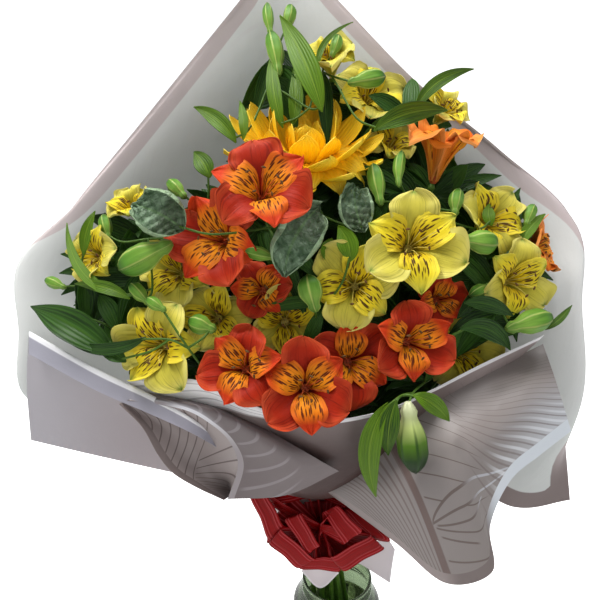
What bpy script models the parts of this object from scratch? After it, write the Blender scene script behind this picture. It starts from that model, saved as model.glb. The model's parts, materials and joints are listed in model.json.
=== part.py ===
"""A wrapped hand bouquet standing in a glass jar of water, in metres with +Z up.

The origin is the middle of the jar's base. The flowers, buds and leaves are placed as seen
from one eye point in front of the bouquet: u runs right and v runs down on a picture plane
FOCAL units from the eye, and a depth in metres runs along the eye's line ahead.
"""
import math
import random

import bmesh
import bpy
from mathutils import Matrix, Vector
from mathutils.bvhtree import BVHTree

# Jar and water
JAR_HEIGHT = 0.150
JAR_RADIUS = 0.0440
MOUTH_RADIUS = 0.0345
GLASS = 0.0032
JAR_FLOOR = 0.0045
JAR_SIDES = 20
WATER_LEVEL = 0.104
GAP = 0.0003

# The tied neck of the wrapper
NECK = Vector((-0.012, -0.002, 0.0))
NECK_LOW = 0.186
NECK_HIGH = 0.205
STEM_RADIUS = 0.0022
PEDICEL_RADIUS = 0.0010
STEM_SPREAD = 2.5
FILM = 0.0008
NECK_RADIUS = 0.0176
TIE_RADIUS = 0.0189
TIE_HEIGHT = 0.008
TIE_LEVEL = 0.196

# The eye that the arrangement is laid out from
EYE = Vector((-0.037, -0.470, 0.614))
PITCH = math.radians(20)
FOCAL = 600.0
MIDDLE = 300.0
AHEAD = Vector((0.0, math.cos(PITCH), -math.sin(PITCH)))
RIGHT = Vector((1.0, 0.0, 0.0))
DOWN = Vector((0.0, -math.sin(PITCH), -math.cos(PITCH)))

# Depth of the flower dome's face down its middle line, by v, and how it falls back sideways
DOME = ((0, 0.520), (60, 0.505), (150, 0.480), (200, 0.462), (250, 0.450),
        (300, 0.444), (350, 0.442), (400, 0.440), (520, 0.455))
DOME_MIDDLE = 310.0
DOME_FALL = 7e-7

# Blades and small parts
PETAL = 0.0008
LEAF = 0.0008
CORE_LOW = -0.0020
CORE_HIGH = 0.0060
OVARY = 0.0080
STEP_BACK = 0.002
STEPS = 60
STEPS_FORWARD = 12
FIRST_SEED = 40
SMALL_BLOOM = 0.055
NARROW_LEAF = 0.013

# Each stem: the umbel it rises to (u, v, depth) and its place in the neck (x, y)
STEMS = {
    "red_high": ((255, 235, 0.535), (-0.0050, 0.0075)),
    "red_low": ((300, 388, 0.505), (-0.0040, -0.0080)),
    "red_right": ((405, 345, 0.510), (0.0025, -0.0090)),
    "orange": ((440, 215, 0.540), (0.0085, 0.0070)),
    "yellow_middle": ((375, 300, 0.525), (0.0050, -0.0015)),
    "yellow_right": ((495, 265, 0.530), (0.0115, 0.0000)),
    "yellow_low": ((440, 375, 0.505), (0.0080, -0.0075)),
    "yellow_corner": ((200, 345, 0.510), (-0.0110, -0.0030)),
    "yellow_left": ((140, 290, 0.530), (-0.0100, 0.0040)),
    "yellow_top": ((365, 115, 0.535), (0.0035, 0.0095)),
    "green_top": ((281, 98, 0.545), (-0.0016, 0.0107)),
    "dark_leaf": ((314, 285, 0.542), (-0.0005, -0.0030)),
}
SUNFLOWER_NECK = (-0.0050, 0.0020)

# Each bloom: stem, face centre (u, v), push back, facing (right, up), roll, size, openness
BLOOMS = {
    "red_bloom_1": ("red_high", 262, 192, -0.030, 0.05, 0.35, 100, 0.070, 1.0),
    "yellow_bloom_1": ("yellow_middle", 411, 245, -0.004, 0.05, 0.20, 90, 0.072, 1.0),
    "red_bloom_2": ("red_high", 220, 240, -0.006, -0.35, 0.05, 60, 0.072, 1.0),
    "red_bloom_4": ("red_low", 306, 388, 0.000, 0.05, 0.15, 95, 0.064, 1.0),
    "yellow_bloom_2": ("yellow_middle", 354, 285, -0.004, -0.15, 0.10, 20, 0.068, 0.9),
    "red_bloom_3": ("red_low", 243, 368, 0.000, -0.20, 0.25, 80, 0.058, 1.0),
    "red_bloom_6": ("red_right", 410, 342, 0.004, 0.20, 0.05, 90, 0.058, 1.0),
    "yellow_bloom_6": ("yellow_corner", 160, 346, 0.004, -0.30, 0.10, 70, 0.068, 1.0),
    "yellow_bloom_3": ("yellow_right", 488, 222, 0.010, 0.35, 0.30, 40, 0.062, 0.9),
    "yellow_bloom_4": ("yellow_right", 512, 281, 0.008, 0.40, 0.00, 75, 0.060, 1.0),
    "red_bloom_5": ("red_low", 350, 362, 0.016, 0.15, 0.10, 30, 0.062, 1.0),
    "yellow_bloom_7": ("yellow_left", 178, 272, 0.010, -0.30, 0.20, 50, 0.060, 0.9),
    "orange_bloom_1": ("orange", 438, 162, 0.004, 0.15, 0.90, 20, 0.060, 0.7),
    "yellow_bloom_5": ("yellow_low", 458, 350, 0.008, 0.25, 0.20, 100, 0.066, 1.0),
    "red_bloom_7": ("red_low", 262, 290, 0.022, -0.10, 0.10, 0, 0.046, 0.9),
    "yellow_bloom_8": ("yellow_left", 97, 256, 0.004, -0.45, 0.15, 30, 0.048, 0.9),
    "yellow_bloom_9": ("yellow_left", 132, 208, 0.010, -0.25, 0.60, 0, 0.046, 0.6),
    "yellow_bloom_10": ("yellow_top", 330, 60, 0.004, -0.15, 0.60, 45, 0.053, 0.7),
    "yellow_bloom_11": ("yellow_top", 368, 98, -0.004, 0.20, 0.40, 10, 0.062, 0.9),
    "yellow_bloom_12": ("yellow_top", 444, 112, 0.010, 0.40, 0.50, 80, 0.046, 0.8),
    "orange_bloom_2": ("yellow_right", 536, 248, 0.020, 0.75, 0.25, 50, 0.048, 0.8),
    "yellow_bloom_13": ("yellow_top", 390, 146, 0.014, 0.15, 0.50, 60, 0.046, 0.8),
    "yellow_bloom_14": ("yellow_corner", 216, 318, 0.018, -0.15, 0.10, 10, 0.056, 0.9),
    "yellow_bloom_15": ("yellow_middle", 285, 322, 0.024, 0.00, 0.00, 90, 0.054, 0.9),
    "red_bloom_8": ("red_right", 438, 300, 0.026, 0.25, 0.10, 0, 0.044, 0.9),
}

# The sunflower: face centre, facing and its two rings of rays
SUN_SPOT = (304, 163, 0.508)
SUN_FACING = (0.03, 0.80)
SUN_DISC = 0.0150
SUN_RAYS = 11
SUN_RAY_LENGTH = 0.061
SUN_RAY_WIDTH = 0.0240

# Each bud: stem, foot (u, v), tip (u, v), width, push back
BUDS = (
    ("green_top", 271, 36, 267, 2, 0.009, 0.000),
    ("green_top", 285, 32, 291, 4, 0.011, 0.002),
    ("green_top", 279, 76, 270, 30, 0.014, 0.000),
    ("yellow_top", 331, 58, 338, 34, 0.010, -0.008),
    ("yellow_top", 348, 83, 386, 76, 0.015, -0.014),
    ("orange", 399, 187, 402, 150, 0.009, -0.004),
    ("orange", 381, 206, 373, 163, 0.013, -0.002),
    ("orange", 455, 216, 459, 188, 0.011, -0.006),
    ("yellow_left", 172, 243, 118, 270, 0.022, -0.008),
    ("yellow_left", 109, 240, 103, 214, 0.010, -0.002),
    ("yellow_left", 150, 304, 130, 283, 0.011, -0.004),
    ("yellow_corner", 166, 311, 146, 298, 0.009, -0.004),
    ("yellow_corner", 216, 330, 188, 320, 0.014, -0.002),
    ("yellow_middle", 316, 312, 307, 274, 0.018, -0.002),
    ("red_high", 277, 258, 244, 250, 0.010, -0.010),
    ("yellow_low", 408, 402, 416, 474, 0.021, -0.022),
    ("yellow_right", 526, 226, 534, 204, 0.010, 0.000),
    ("yellow_right", 491, 285, 469, 296, 0.010, -0.002),
    ("yellow_right", 506, 329, 553, 316, 0.018, -0.004),
    ("red_high", 186, 198, 168, 180, 0.011, 0.000),
    ("yellow_left", 66, 288, 45, 279, 0.009, 0.000),
    ("yellow_middle", 460, 240, 498, 243, 0.018, -0.008),
)

# Each leaf: stem, foot (u, v), tip (u, v), sideways bow (share of length), width, push at
# the foot and at the tip
LEAVES = (
    ("green_top", 236, 143, 194, 107, 0.10, 0.013, 0.000, 0.002),
    ("green_top", 243, 140, 240, 101, 0.05, 0.008, 0.002, 0.004),
    ("green_top", 322, 112, 280, 16, 0.04, 0.020, -0.012, -0.006),
    ("green_top", 283, 128, 272, 52, -0.05, 0.012, 0.004, 0.004),
    ("green_top", 292, 126, 294, 68, 0.05, 0.012, 0.006, 0.004),
    ("green_top", 318, 82, 353, 22, -0.20, 0.005, -0.004, -0.004),
    ("yellow_top", 374, 131, 447, 110, -0.10, 0.017, -0.014, -0.008),
    ("yellow_top", 414, 112, 474, 69, -0.14, 0.011, 0.000, 0.000),
    ("yellow_left", 128, 297, 67, 223, -0.20, 0.009, -0.004, -0.002),
    ("yellow_left", 84, 256, 95, 211, -0.08, 0.009, 0.000, 0.000),
    ("yellow_left", 130, 299, 75, 284, 0.08, 0.010, -0.006, -0.004),
    ("yellow_corner", 112, 354, 31, 307, 0.05, 0.026, -0.002, 0.000),
    ("yellow_corner", 146, 337, 70, 343, -0.12, 0.010, -0.010, -0.004),
    ("yellow_corner", 126, 362, 97, 347, 0.05, 0.012, -0.006, -0.004),
    ("yellow_low", 388, 403, 376, 497, 0.13, 0.016, -0.022, 0.000),
    ("yellow_low", 396, 400, 388, 455, 0.05, 0.014, -0.025, -0.018),
    ("yellow_low", 413, 395, 449, 421, -0.10, 0.013, -0.024, -0.020),
    ("yellow_right", 464, 303, 513, 316, -0.10, 0.012, -0.010, -0.008),
    ("yellow_low", 460, 329, 510, 350, -0.20, 0.015, -0.012, -0.006),
    ("yellow_right", 545, 330, 572, 305, 0.05, 0.006, 0.000, 0.000),
    ("orange", 431, 226, 429, 196, 0.08, 0.012, -0.004, 0.002),
    ("orange", 492, 226, 489, 204, -0.08, 0.010, -0.004, 0.002),
    ("yellow_right", 520, 246, 545, 214, -0.08, 0.010, 0.004, 0.004),
    ("yellow_middle", 350, 262, 338, 226, 0.10, 0.016, 0.006, 0.004),
    ("yellow_middle", 330, 262, 332, 238, -0.10, 0.012, 0.010, 0.010),
    ("yellow_corner", 92, 318, 44, 324, 0.06, 0.014, 0.008, 0.004),
    ("red_high", 210, 178, 194, 152, 0.06, 0.015, -0.004, -0.006),
)

# Each broad wavy leaf: foot, tip, bow, width, pushes and the ruffle's height
WAVY_LEAVES = (
    (320, 206, 284, 277, 0.10, 0.036, -0.006, -0.012, 0.0040),
    (364, 232, 354, 184, -0.06, 0.026, 0.000, 0.002, 0.0020),
    (184, 230, 132, 204, 0.06, 0.034, 0.004, -0.006, 0.0022),
)

# Wrapper sheets: each column is an angle round the neck, the radius and height where it
# leaves the neck, then points (u, v, depth) outward
BACK_SHEET = (
    (202, 0.024, 0.212, (205, 452, 0.566), (100, 428, 0.543), (46, 412, 0.545)),
    (190, 0.024, 0.212, (158, 430, 0.570), (30, 396, 0.524), (44, 396, 0.552)),
    (176, 0.024, 0.212, (160, 395, 0.584), (26, 335, 0.524), (42, 338, 0.556)),
    (158, 0.023, 0.213, (175, 350, 0.594), (29, 271, 0.532), (36, 262, 0.550)),
    (140, 0.022, 0.216, (195, 300, 0.602), (88, 216, 0.550), (75, 204, 0.550)),
    (122, 0.021, 0.220, (225, 260, 0.604), (152, 146, 0.556), (135, 130, 0.550)),
    (106, 0.020, 0.224, (255, 235, 0.604), (205, 84, 0.555), (190, 62, 0.548)),
    (93, 0.020, 0.226, (285, 225, 0.602), (253, 27, 0.551), (240, 0, 0.542)),
    (82, 0.020, 0.226, (305, 225, 0.600), (287, -18, 0.548), (286, -57, 0.539)),
    (70, 0.020, 0.226, (330, 230, 0.598), (329, 26, 0.549), (338, 0, 0.542)),
    (54, 0.020, 0.224, (365, 250, 0.594), (398, 100, 0.548), (418, 83, 0.538)),
    (37, 0.022, 0.220, (398, 280, 0.588), (480, 163, 0.543), (500, 150, 0.533)),
    (20, 0.023, 0.216, (428, 322, 0.580), (563, 238, 0.533), (573, 222, 0.540)),
    (3, 0.024, 0.213, (448, 372, 0.570), (575, 312, 0.526), (562, 314, 0.554)),
    (-12, 0.024, 0.212, (452, 425, 0.564), (574, 405, 0.522), (563, 408, 0.550)),
    (-22, 0.024, 0.212, (440, 478, 0.558), (514, 507, 0.537), (570, 500, 0.520)),
)
FRONT_SHEET = (
    (214, 0.040, 0.248, (220, 466, 0.512), (160, 412, 0.479), (126, 381, 0.464)),
    (230, 0.033, 0.254, (250, 474, 0.500), (212, 412, 0.462), (196, 380, 0.449)),
    (250, 0.027, 0.258, (278, 488, 0.492), (258, 432, 0.452), (249, 404, 0.439)),
    (268, 0.025, 0.260, (312, 496, 0.488), (315, 448, 0.448), (316, 420, 0.434)),
    (286, 0.026, 0.260, (352, 490, 0.490), (369, 440, 0.452), (378, 412, 0.438)),
    (304, 0.032, 0.257, (385, 482, 0.496), (413, 421, 0.462), (427, 392, 0.447)),
    (320, 0.038, 0.252, (414, 474, 0.508), (458, 402, 0.478), (482, 364, 0.465)),
    (330, 0.046, 0.248, (438, 466, 0.521), (505, 375, 0.500), (544, 335, 0.489)),
)
# The front film's left part: its rows run from under the front sheet to the left, as its
# lower edge, its belly, its rim and the lip that folds over outside
LEFT_LOWER = ((244, 486, 0.514), (205, 478, 0.504), (167, 471, 0.508), (95, 455, 0.509), (31, 440, 0.505))
LEFT_BELLY = ((244, 478, 0.510), (205, 452, 0.492), (165, 432, 0.488), (95, 405, 0.489), (27, 385, 0.494))
LEFT_RIM = ((246, 460, 0.500), (202, 425, 0.462), (153, 396, 0.460), (95, 368, 0.470), (29, 332, 0.484))
LEFT_LIP = ((246, 466, 0.494), (199, 437, 0.456), (150, 414, 0.455), (95, 390, 0.464), (29, 354, 0.477))
# The curl in front: its lower left outline and the bright edge of its mouth, top to bottom
CURL_OUTER = ((119, 404, 0.458), (142, 427, 0.460), (158, 455, 0.464), (173, 473, 0.466),
              (196, 487, 0.468), (224, 500, 0.472))
CURL_MIDDLE = ((124, 402, 0.460), (164, 422, 0.472), (186, 440, 0.478), (200, 458, 0.482),
               (214, 476, 0.484), (236, 492, 0.508))
CURL_MOUTH = ((128, 400, 0.458), (182, 409, 0.454), (211, 424, 0.454), (230, 442, 0.458),
              (240, 466, 0.472), (248, 484, 0.510))
# The right wing: the fold where it leaves the front sheet, its middle and its outer hem
WING_FOLD = ((322, 482, 0.492), (352, 466, 0.482), (386, 440, 0.470), (416, 414, 0.464),
             (446, 390, 0.468), (480, 372, 0.480), (514, 358, 0.494), (543, 344, 0.500))
WING_MIDDLE = ((326, 490, 0.486), (368, 492, 0.470), (415, 500, 0.446), (450, 480, 0.436),
               (470, 450, 0.436), (498, 426, 0.446), (530, 400, 0.460), (557, 385, 0.476))
WING_HEM = ((333, 496, 0.482), (396, 543, 0.472), (446, 583, 0.466), (492, 572, 0.458),
            (490, 526, 0.452), (510, 481, 0.456), (540, 455, 0.466), (571, 431, 0.480))
# The film's ends below the tie, each from the neck outward: one hangs beside the jar, one
# dips into its mouth
TAILS = (
    (((342, 551, 0.588), (370, 543, 0.592), (387, 540, 0.596), (395, 549, 0.602)),
     ((342, 555, 0.589), (366, 553, 0.594), (384, 558, 0.598), (392, 567, 0.602)),
     ((342, 560, 0.590), (360, 564, 0.596), (376, 574, 0.600), (390, 583, 0.602))),
    (((314, 564, 0.5724), (307, 567, 0.575), (301, 571, 0.576)),
     ((321, 565, 0.5724), (320, 576, 0.576), (320, 588, 0.578)),
     ((328, 565, 0.5724), (334, 569, 0.576), (339, 573, 0.578))),
)

# Bow: loops as (angle in the bow's plane, lean forward, length, width), and the ribbon
BOW_SPOT = (319, 533, 0.534)
BOW_TILT = 0.10
RIBBON = 0.0010
BOW_LOOPS = (
    (4, 0.10, 0.054, 0.024), (34, 0.60, 0.050, 0.024), (148, 0.60, 0.054, 0.024),
    (182, 0.10, 0.058, 0.024), (216, 0.12, 0.050, 0.024), (250, 0.15, 0.044, 0.024),
    (286, 0.15, 0.044, 0.024), (324, 0.12, 0.048, 0.024),
    (232, 0.75, 0.036, 0.022), (312, 0.75, 0.036, 0.022),
)

COLOURS = {
    "jar": ((0.80, 0.90, 0.84), 0.05), "water": ((0.70, 0.80, 0.70), 0.05),
    "film": ((0.72, 0.68, 0.68), 0.35), "ribbon": ((0.42, 0.01, 0.03), 0.30),
    "green": ((0.14, 0.30, 0.05), 0.50), "dark": ((0.07, 0.14, 0.07), 0.50),
    "red": ((0.80, 0.14, 0.05), 0.45), "orange": ((0.90, 0.36, 0.06), 0.45),
    "yellow": ((0.85, 0.78, 0.18), 0.45), "sun": ((1.0, 0.52, 0.02), 0.45),
    "disc": ((0.10, 0.05, 0.02), 0.80),
}


def seen(u, v, depth):
    """The point that the eye sees at (u, v), depth metres ahead."""
    across = (u - MIDDLE) / FOCAL
    down = (v - MIDDLE) / FOCAL
    return EYE + depth * (AHEAD + across * RIGHT + down * DOWN)


def dome(u, v):
    """Depth of the flower dome's face at (u, v)."""
    rows = list(DOME)
    depth = rows[-1][1]
    for (v0, d0), (v1, d1) in zip(rows, rows[1:]):
        if v <= v1:
            share = max(0.0, (v - v0) / (v1 - v0))
            depth = d0 + share * (d1 - d0)
            break
    return depth + DOME_FALL * (u - DOME_MIDDLE) ** 2


def facing(right, up):
    """The unit vector that points this far right and up, and for the rest at the eye."""
    near = math.sqrt(max(0.0, 1.0 - right * right - up * up))
    return (right * RIGHT - up * DOWN - near * AHEAD).normalized()


def frame_on(direction, roll=0.0):
    """A rotation that takes +Z to the direction, with +X as level as it can be."""
    side = Vector((0, 0, 1)).cross(direction)
    side = side.normalized() if side.length > 1e-6 else RIGHT.copy()
    rise = direction.cross(side)
    turn = Matrix((side, rise, direction)).transposed().to_4x4()
    return turn @ Matrix.Rotation(roll, 4, "Z")


def quad(a, b, c, s):
    """A quadratic curve through a and c, pulled towards b."""
    return (1 - s) ** 2 * a + 2 * s * (1 - s) * b + s * s * c


def catmull(points, t):
    """A smooth curve through the points, t running from 0 to the last index."""
    last = len(points) - 1
    i = min(int(t), last - 1)
    f = t - i
    p1, p2 = points[i], points[i + 1]
    p0 = points[i - 1] if i > 0 else 2 * p1 - p2
    p3 = points[i + 2] if i + 2 <= last else 2 * p2 - p1
    return 0.5 * ((2 * p1) + (p2 - p0) * f + (2 * p0 - 5 * p1 + 4 * p2 - p3) * f * f
                  + (3 * p1 - p0 - 3 * p2 + p3) * f ** 3)


def material(name):
    colour, roughness = COLOURS[name]
    made = bpy.data.materials.get(name) or bpy.data.materials.new(name)
    made.use_nodes = True
    shader = made.node_tree.nodes["Principled BSDF"]
    shader.inputs["Base Color"].default_value = (*colour, 1.0)
    shader.inputs["Roughness"].default_value = roughness
    shader.inputs["Metallic"].default_value = 0.0
    return made


def mesh_of(bm):
    """A mesh from a bmesh, which is freed."""
    mesh = bpy.data.meshes.new("piece")
    bm.to_mesh(mesh)
    bm.free()
    return mesh


def blade(point, long_steps, cross_steps, thickness):
    """A thin closed solid on the surface point(s, c), s from 0 to 1 and c from -1 to 1."""
    bm = bmesh.new()
    bmesh.ops.create_grid(bm, x_segments=cross_steps, y_segments=long_steps, size=1.0)
    for vert in bm.verts:
        vert.co = point((vert.co.y + 1.0) / 2.0, vert.co.x)
    # an end of no width closes to a point
    bmesh.ops.remove_doubles(bm, verts=bm.verts[:], dist=1e-6)
    bmesh.ops.triangulate(bm, faces=bm.faces[:], quad_method="FIXED")
    bm.normal_update()
    bmesh.ops.solidify(bm, geom=bm.faces[:], thickness=thickness)
    bmesh.ops.recalc_face_normals(bm, faces=bm.faces[:])
    return mesh_of(bm)


def cone_between(low, high, low_radius, high_radius, sides):
    """A closed cone or cylinder from one point to another."""
    bm = bmesh.new()
    along = high - low
    place = Matrix.Translation((low + high) / 2) @ frame_on(along.normalized())
    bmesh.ops.create_cone(bm, cap_ends=True, segments=sides, radius1=low_radius,
                          radius2=high_radius, depth=along.length, matrix=place)
    return mesh_of(bm)


def ball(centre, direction, length, width, sides, rings):
    """An egg-shaped solid along a direction."""
    bm = bmesh.new()
    size = Matrix.Diagonal((width / 2, width / 2, length / 2, 1.0))
    place = Matrix.Translation(centre) @ frame_on(direction) @ size
    bmesh.ops.create_uvsphere(bm, u_segments=sides, v_segments=rings, radius=1.0, matrix=place)
    return mesh_of(bm)


def tube(points, radius, resolution, shares=None):
    """A closed tube along the points: a bevelled curve made a mesh."""
    curve = bpy.data.curves.new("tube", "CURVE")
    curve.dimensions = "3D"
    curve.bevel_depth = radius
    curve.bevel_resolution = resolution
    curve.use_fill_caps = True
    spline = curve.splines.new("POLY")
    spline.points.add(len(points) - 1)
    for spot, place, share in zip(spline.points, points, shares or [1.0] * len(points)):
        spot.co = (*place, 1.0)
        spot.radius = share
    maker = bpy.data.objects.new("tube", curve)
    bpy.context.scene.collection.objects.link(maker)
    graph = bpy.context.evaluated_depsgraph_get()
    mesh = bpy.data.meshes.new_from_object(maker.evaluated_get(graph))
    bpy.data.objects.remove(maker)
    bm = bmesh.new()
    bm.from_mesh(mesh)
    bmesh.ops.remove_doubles(bm, verts=bm.verts[:], dist=1e-6)
    bmesh.ops.recalc_face_normals(bm, faces=bm.faces[:])
    return mesh_of(bm)


def keep_largest(mesh):
    """Drop the walls of hollows that the union sealed, and loose scraps."""
    bm = bmesh.new()
    bm.from_mesh(mesh)
    islands, left = [], set(bm.verts)
    while left:
        island, edge = set(), [left.pop()]
        while edge:
            vert = edge.pop()
            island.add(vert)
            for link in vert.link_edges:
                other = link.other_vert(vert)
                if other in left:
                    left.remove(other)
                    edge.append(other)
        islands.append(island)
    islands.sort(key=len)
    for island in islands[:-1]:
        bmesh.ops.delete(bm, geom=list(island), context="VERTS")
    bm.to_mesh(mesh)
    bm.free()


def fuse(name, meshes, colour, parts):
    """One object from closed meshes that overlap, by one Boolean union on a collection."""
    holder = bpy.data.collections.new("union")
    bpy.context.scene.collection.children.link(holder)
    base = bpy.data.objects.new(name, meshes[0])
    parts.objects.link(base)
    for mesh in meshes[1:]:
        holder.objects.link(bpy.data.objects.new("operand", mesh))
    if len(meshes) > 1:
        union = base.modifiers.new("union", "BOOLEAN")
        union.operation = "UNION"
        union.operand_type = "COLLECTION"
        union.collection = holder
        # the exact solver is slow on this many thin blades
        union.solver = "MANIFOLD"
        graph = bpy.context.evaluated_depsgraph_get()
        fused = bpy.data.meshes.new_from_object(base.evaluated_get(graph))
        base.modifiers.remove(union)
        keep_largest(fused)
        base.data = fused
    for operand in list(holder.objects):
        bpy.data.objects.remove(operand)
    bpy.data.collections.remove(holder)
    base.data.name = name
    base.data.materials.clear()
    base.data.materials.append(material(colour))
    return base


def tree_of(meshes):
    """A search tree over the faces of some meshes."""
    verts, faces = [], []
    for mesh in meshes:
        start = len(verts)
        verts.extend(vert.co.copy() for vert in mesh.vertices)
        faces.extend([start + i for i in face.vertices] for face in mesh.polygons)
    return BVHTree.FromPolygons(verts, faces)


def moved(mesh, matrix):
    copy = mesh.copy()
    copy.transform(matrix)
    return copy


class Standing:
    """What already stands, by the node it belongs to."""

    def __init__(self):
        self.trees = []

    def add(self, owner, meshes):
        self.trees.append((owner, tree_of(meshes)))

    def hits(self, meshes, owner=None):
        tree = tree_of(meshes)
        return sum(len(tree.overlap(other)) for name, other in self.trees if name != owner)

    def near(self, points, radius, owner=None):
        """How many of the points lie within the radius of something, or pass through it."""
        count = 0
        for name, other in self.trees:
            if name == owner:
                continue
            count += sum(other.find_nearest(p, radius)[0] is not None for p in points)
            for a, b in zip(points, points[1:]):
                way = b - a
                count += other.ray_cast(a, way.normalized(), way.length)[0] is not None
        return count


def petal_outline(s, pointed):
    """Share of a petal's width at s: narrow at the root, blunt or pointed at the tip."""
    if pointed:
        return math.sin(math.pi * s ** 1.20) ** 0.9 if 0.0 < s < 1.0 else 0.0
    return math.sin(math.pi * 0.85 * s ** 1.25) ** 0.9


def petal(size, opening, width, pointed, turn, steps):
    """One petal of a funnel-shaped bloom, its root in the core."""
    reach = size * (0.20 + 0.37 * opening)
    rise = size * (0.62 - 0.26 * opening)
    root, belly, notch, cup = (0.0015, 0.12, 0.0, 0.15) if pointed else (0.0030, 0.32, 0.05, 0.22)

    def point(s, c):
        half = width / 2 * petal_outline(s, pointed)
        r = quad(root, reach * belly, reach * (1 - notch * (1 - abs(c)) * s ** 4), s)
        z = quad(0.0, rise * 1.05, rise * 0.92, s) + cup * half * c * c
        return Matrix.Rotation(turn, 3, "Z") @ Vector((r, c * half, z))
    return blade(point, steps[0], steps[1], PETAL)


def bloom_pieces(size, opening, seed):
    """Core and six petals of an alstroemeria, facing +Z from the origin, no two alike."""
    draw = random.Random(seed)
    small = size < SMALL_BLOOM
    outer_steps = (2, 2) if small else (3, 2)
    core = cone_between(Vector((0, 0, CORE_LOW)), Vector((0, 0, CORE_HIGH)), 0.0026, 0.0046, 6)
    pieces = [core]
    for k in range(3):
        turn = math.radians(120 * k + draw.uniform(-6, 6))
        wide = size * 0.46 * draw.uniform(0.92, 1.06)
        spread = opening * draw.uniform(0.94, 1.02)
        pieces.append(petal(size, spread, wide, False, turn, outer_steps))
        turn += math.radians(60 + draw.uniform(-5, 5))
        spread = opening * draw.uniform(0.80, 0.88)
        if k == 0 or not small:
            pieces.append(petal(size * 0.94, spread, size * 0.24, True, turn, (2, 1)))
    return pieces


def bloom_place(row, back):
    """Where a bloom's core lies: behind its face centre, stepped back along the eye's line."""
    stem, u, v, push, right, up, roll, size, opening = row
    direction = facing(right, up)
    depth = dome(u, v) + push + back
    core = seen(u, v, depth) - direction * size * (0.62 - 0.26 * opening) * 0.6
    return Matrix.Translation(core) @ frame_on(direction, math.radians(roll))


def settle(place, pieces, standing):
    """Step a piece back along the line of sight until it is clear of what stands."""
    best = None
    for step in range(STEPS):
        matrix = place(step * STEP_BACK)
        there = [moved(mesh, matrix) for mesh in pieces]
        count = standing.hits(there)
        if best is None or count < best[0]:
            best = (count, matrix, there)
        if count == 0:
            break
    return best[1:]


def route(start, start_way, end, end_way, standing, owner):
    """The first bend from start to end that is clear of what stands, in a few straight runs."""
    span = (end - start).length
    runs = 2 if span < 0.045 else 3 if span < 0.09 else 4
    chord = (end - start).normalized()
    side = chord.cross(Vector((0, 0, 1))).normalized()
    other = chord.cross(side)
    best = None
    for bulge in (0.0, 0.06, 0.12, 0.18, 0.25, 0.32, 0.4, 0.5, 0.6):
        for spoke in range(1 if bulge == 0.0 else 12):
            angle = math.tau * spoke / 12
            push = span * bulge * (math.cos(angle) * side + math.sin(angle) * other)
            p1 = start + start_way * min(0.02, span * 0.3) + push
            p2 = end + end_way * min(0.02, span * 0.3) + push
            points = bezier(start, p1, p2, end, runs)
            samples = [a.lerp(b, k / 10) for a, b in zip(points, points[1:]) for k in range(10)]
            count = standing.near(samples[1:-1], PEDICEL_RADIUS * 1.15 + GAP, owner)
            if best is None or count < best[0]:
                best = (count, points)
            if count == 0:
                return best
    return best


def bezier(a, b, c, d, steps):
    points = []
    for k in range(steps + 1):
        t = k / steps
        points.append((1 - t) ** 3 * a + 3 * t * (1 - t) ** 2 * b + 3 * t * t * (1 - t) * c + t ** 3 * d)
    return points


def stem_path(name_spot, umbel):
    """A stem's points from the jar's floor through the neck to its umbel."""
    x, y = name_spot
    foot = Vector((x * STEM_SPREAD, y * STEM_SPREAD, JAR_FLOOR + GAP))
    low = NECK + Vector((x, y, NECK_LOW))
    high = NECK + Vector((x, y, NECK_HIGH))
    rise = umbel - high
    bend = high + Vector((rise.x * 0.16, rise.y * 0.16, rise.z * 0.28))
    upper = [quad(high, bend, umbel, k / 4) for k in range(1, 5)]
    return [foot, low, high] + upper


def fan_sheet(columns, per_column, rows_up):
    """A wrapper sheet: columns rise from the neck and open out, as one thin solid."""
    curves = []
    for angle, radius, level, *outward in columns:
        a = math.radians(angle)
        way = Vector((math.cos(a), math.sin(a), 0.0))
        ring = NECK + way * NECK_RADIUS
        rise = [ring + Vector((0, 0, NECK_LOW)), ring + Vector((0, 0, NECK_HIGH - 0.001)),
                NECK + way * radius + Vector((0, 0, level))]
        curves.append(rise + [seen(*spot) for spot in outward])

    def point(s, c):
        across = (c + 1) / 2 * (len(columns) - 1)
        up = s * (len(curves[0]) - 1)
        return catmull([catmull(curve, up) for curve in curves], across)
    return blade(point, rows_up, per_column * (len(columns) - 1), FILM)


def row_sheet(rows, cross_steps, long_steps, thickness=FILM):
    """A sheet through rows of seen points, as one thin solid."""
    lines = [[seen(*spot) for spot in row] for row in rows]

    def point(s, c):
        along = s * (len(lines[0]) - 1)
        across = (c + 1) / 2 * (len(lines) - 1)
        return catmull([catmull(line, along) for line in lines], across)
    return blade(point, long_steps, cross_steps, thickness)


def turned(name, profile, colour, parts):
    """A turned solid from a profile that runs up its inside and down its outside."""
    mesh = bpy.data.meshes.new(name)
    bm = bmesh.new()
    verts = [bm.verts.new((r, 0.0, z)) for r, z in profile]
    for a, b in zip(verts, verts[1:]):
        bm.edges.new((a, b))
    bm.to_mesh(mesh)
    bm.free()
    made = bpy.data.objects.new(name, mesh)
    parts.objects.link(made)
    screw = made.modifiers.new("turn", "SCREW")
    screw.steps = JAR_SIDES
    screw.render_steps = JAR_SIDES
    screw.use_merge_vertices = True
    screw.merge_threshold = 0.00001
    mesh.materials.append(material(colour))
    mesh.shade_smooth()
    return made


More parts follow.
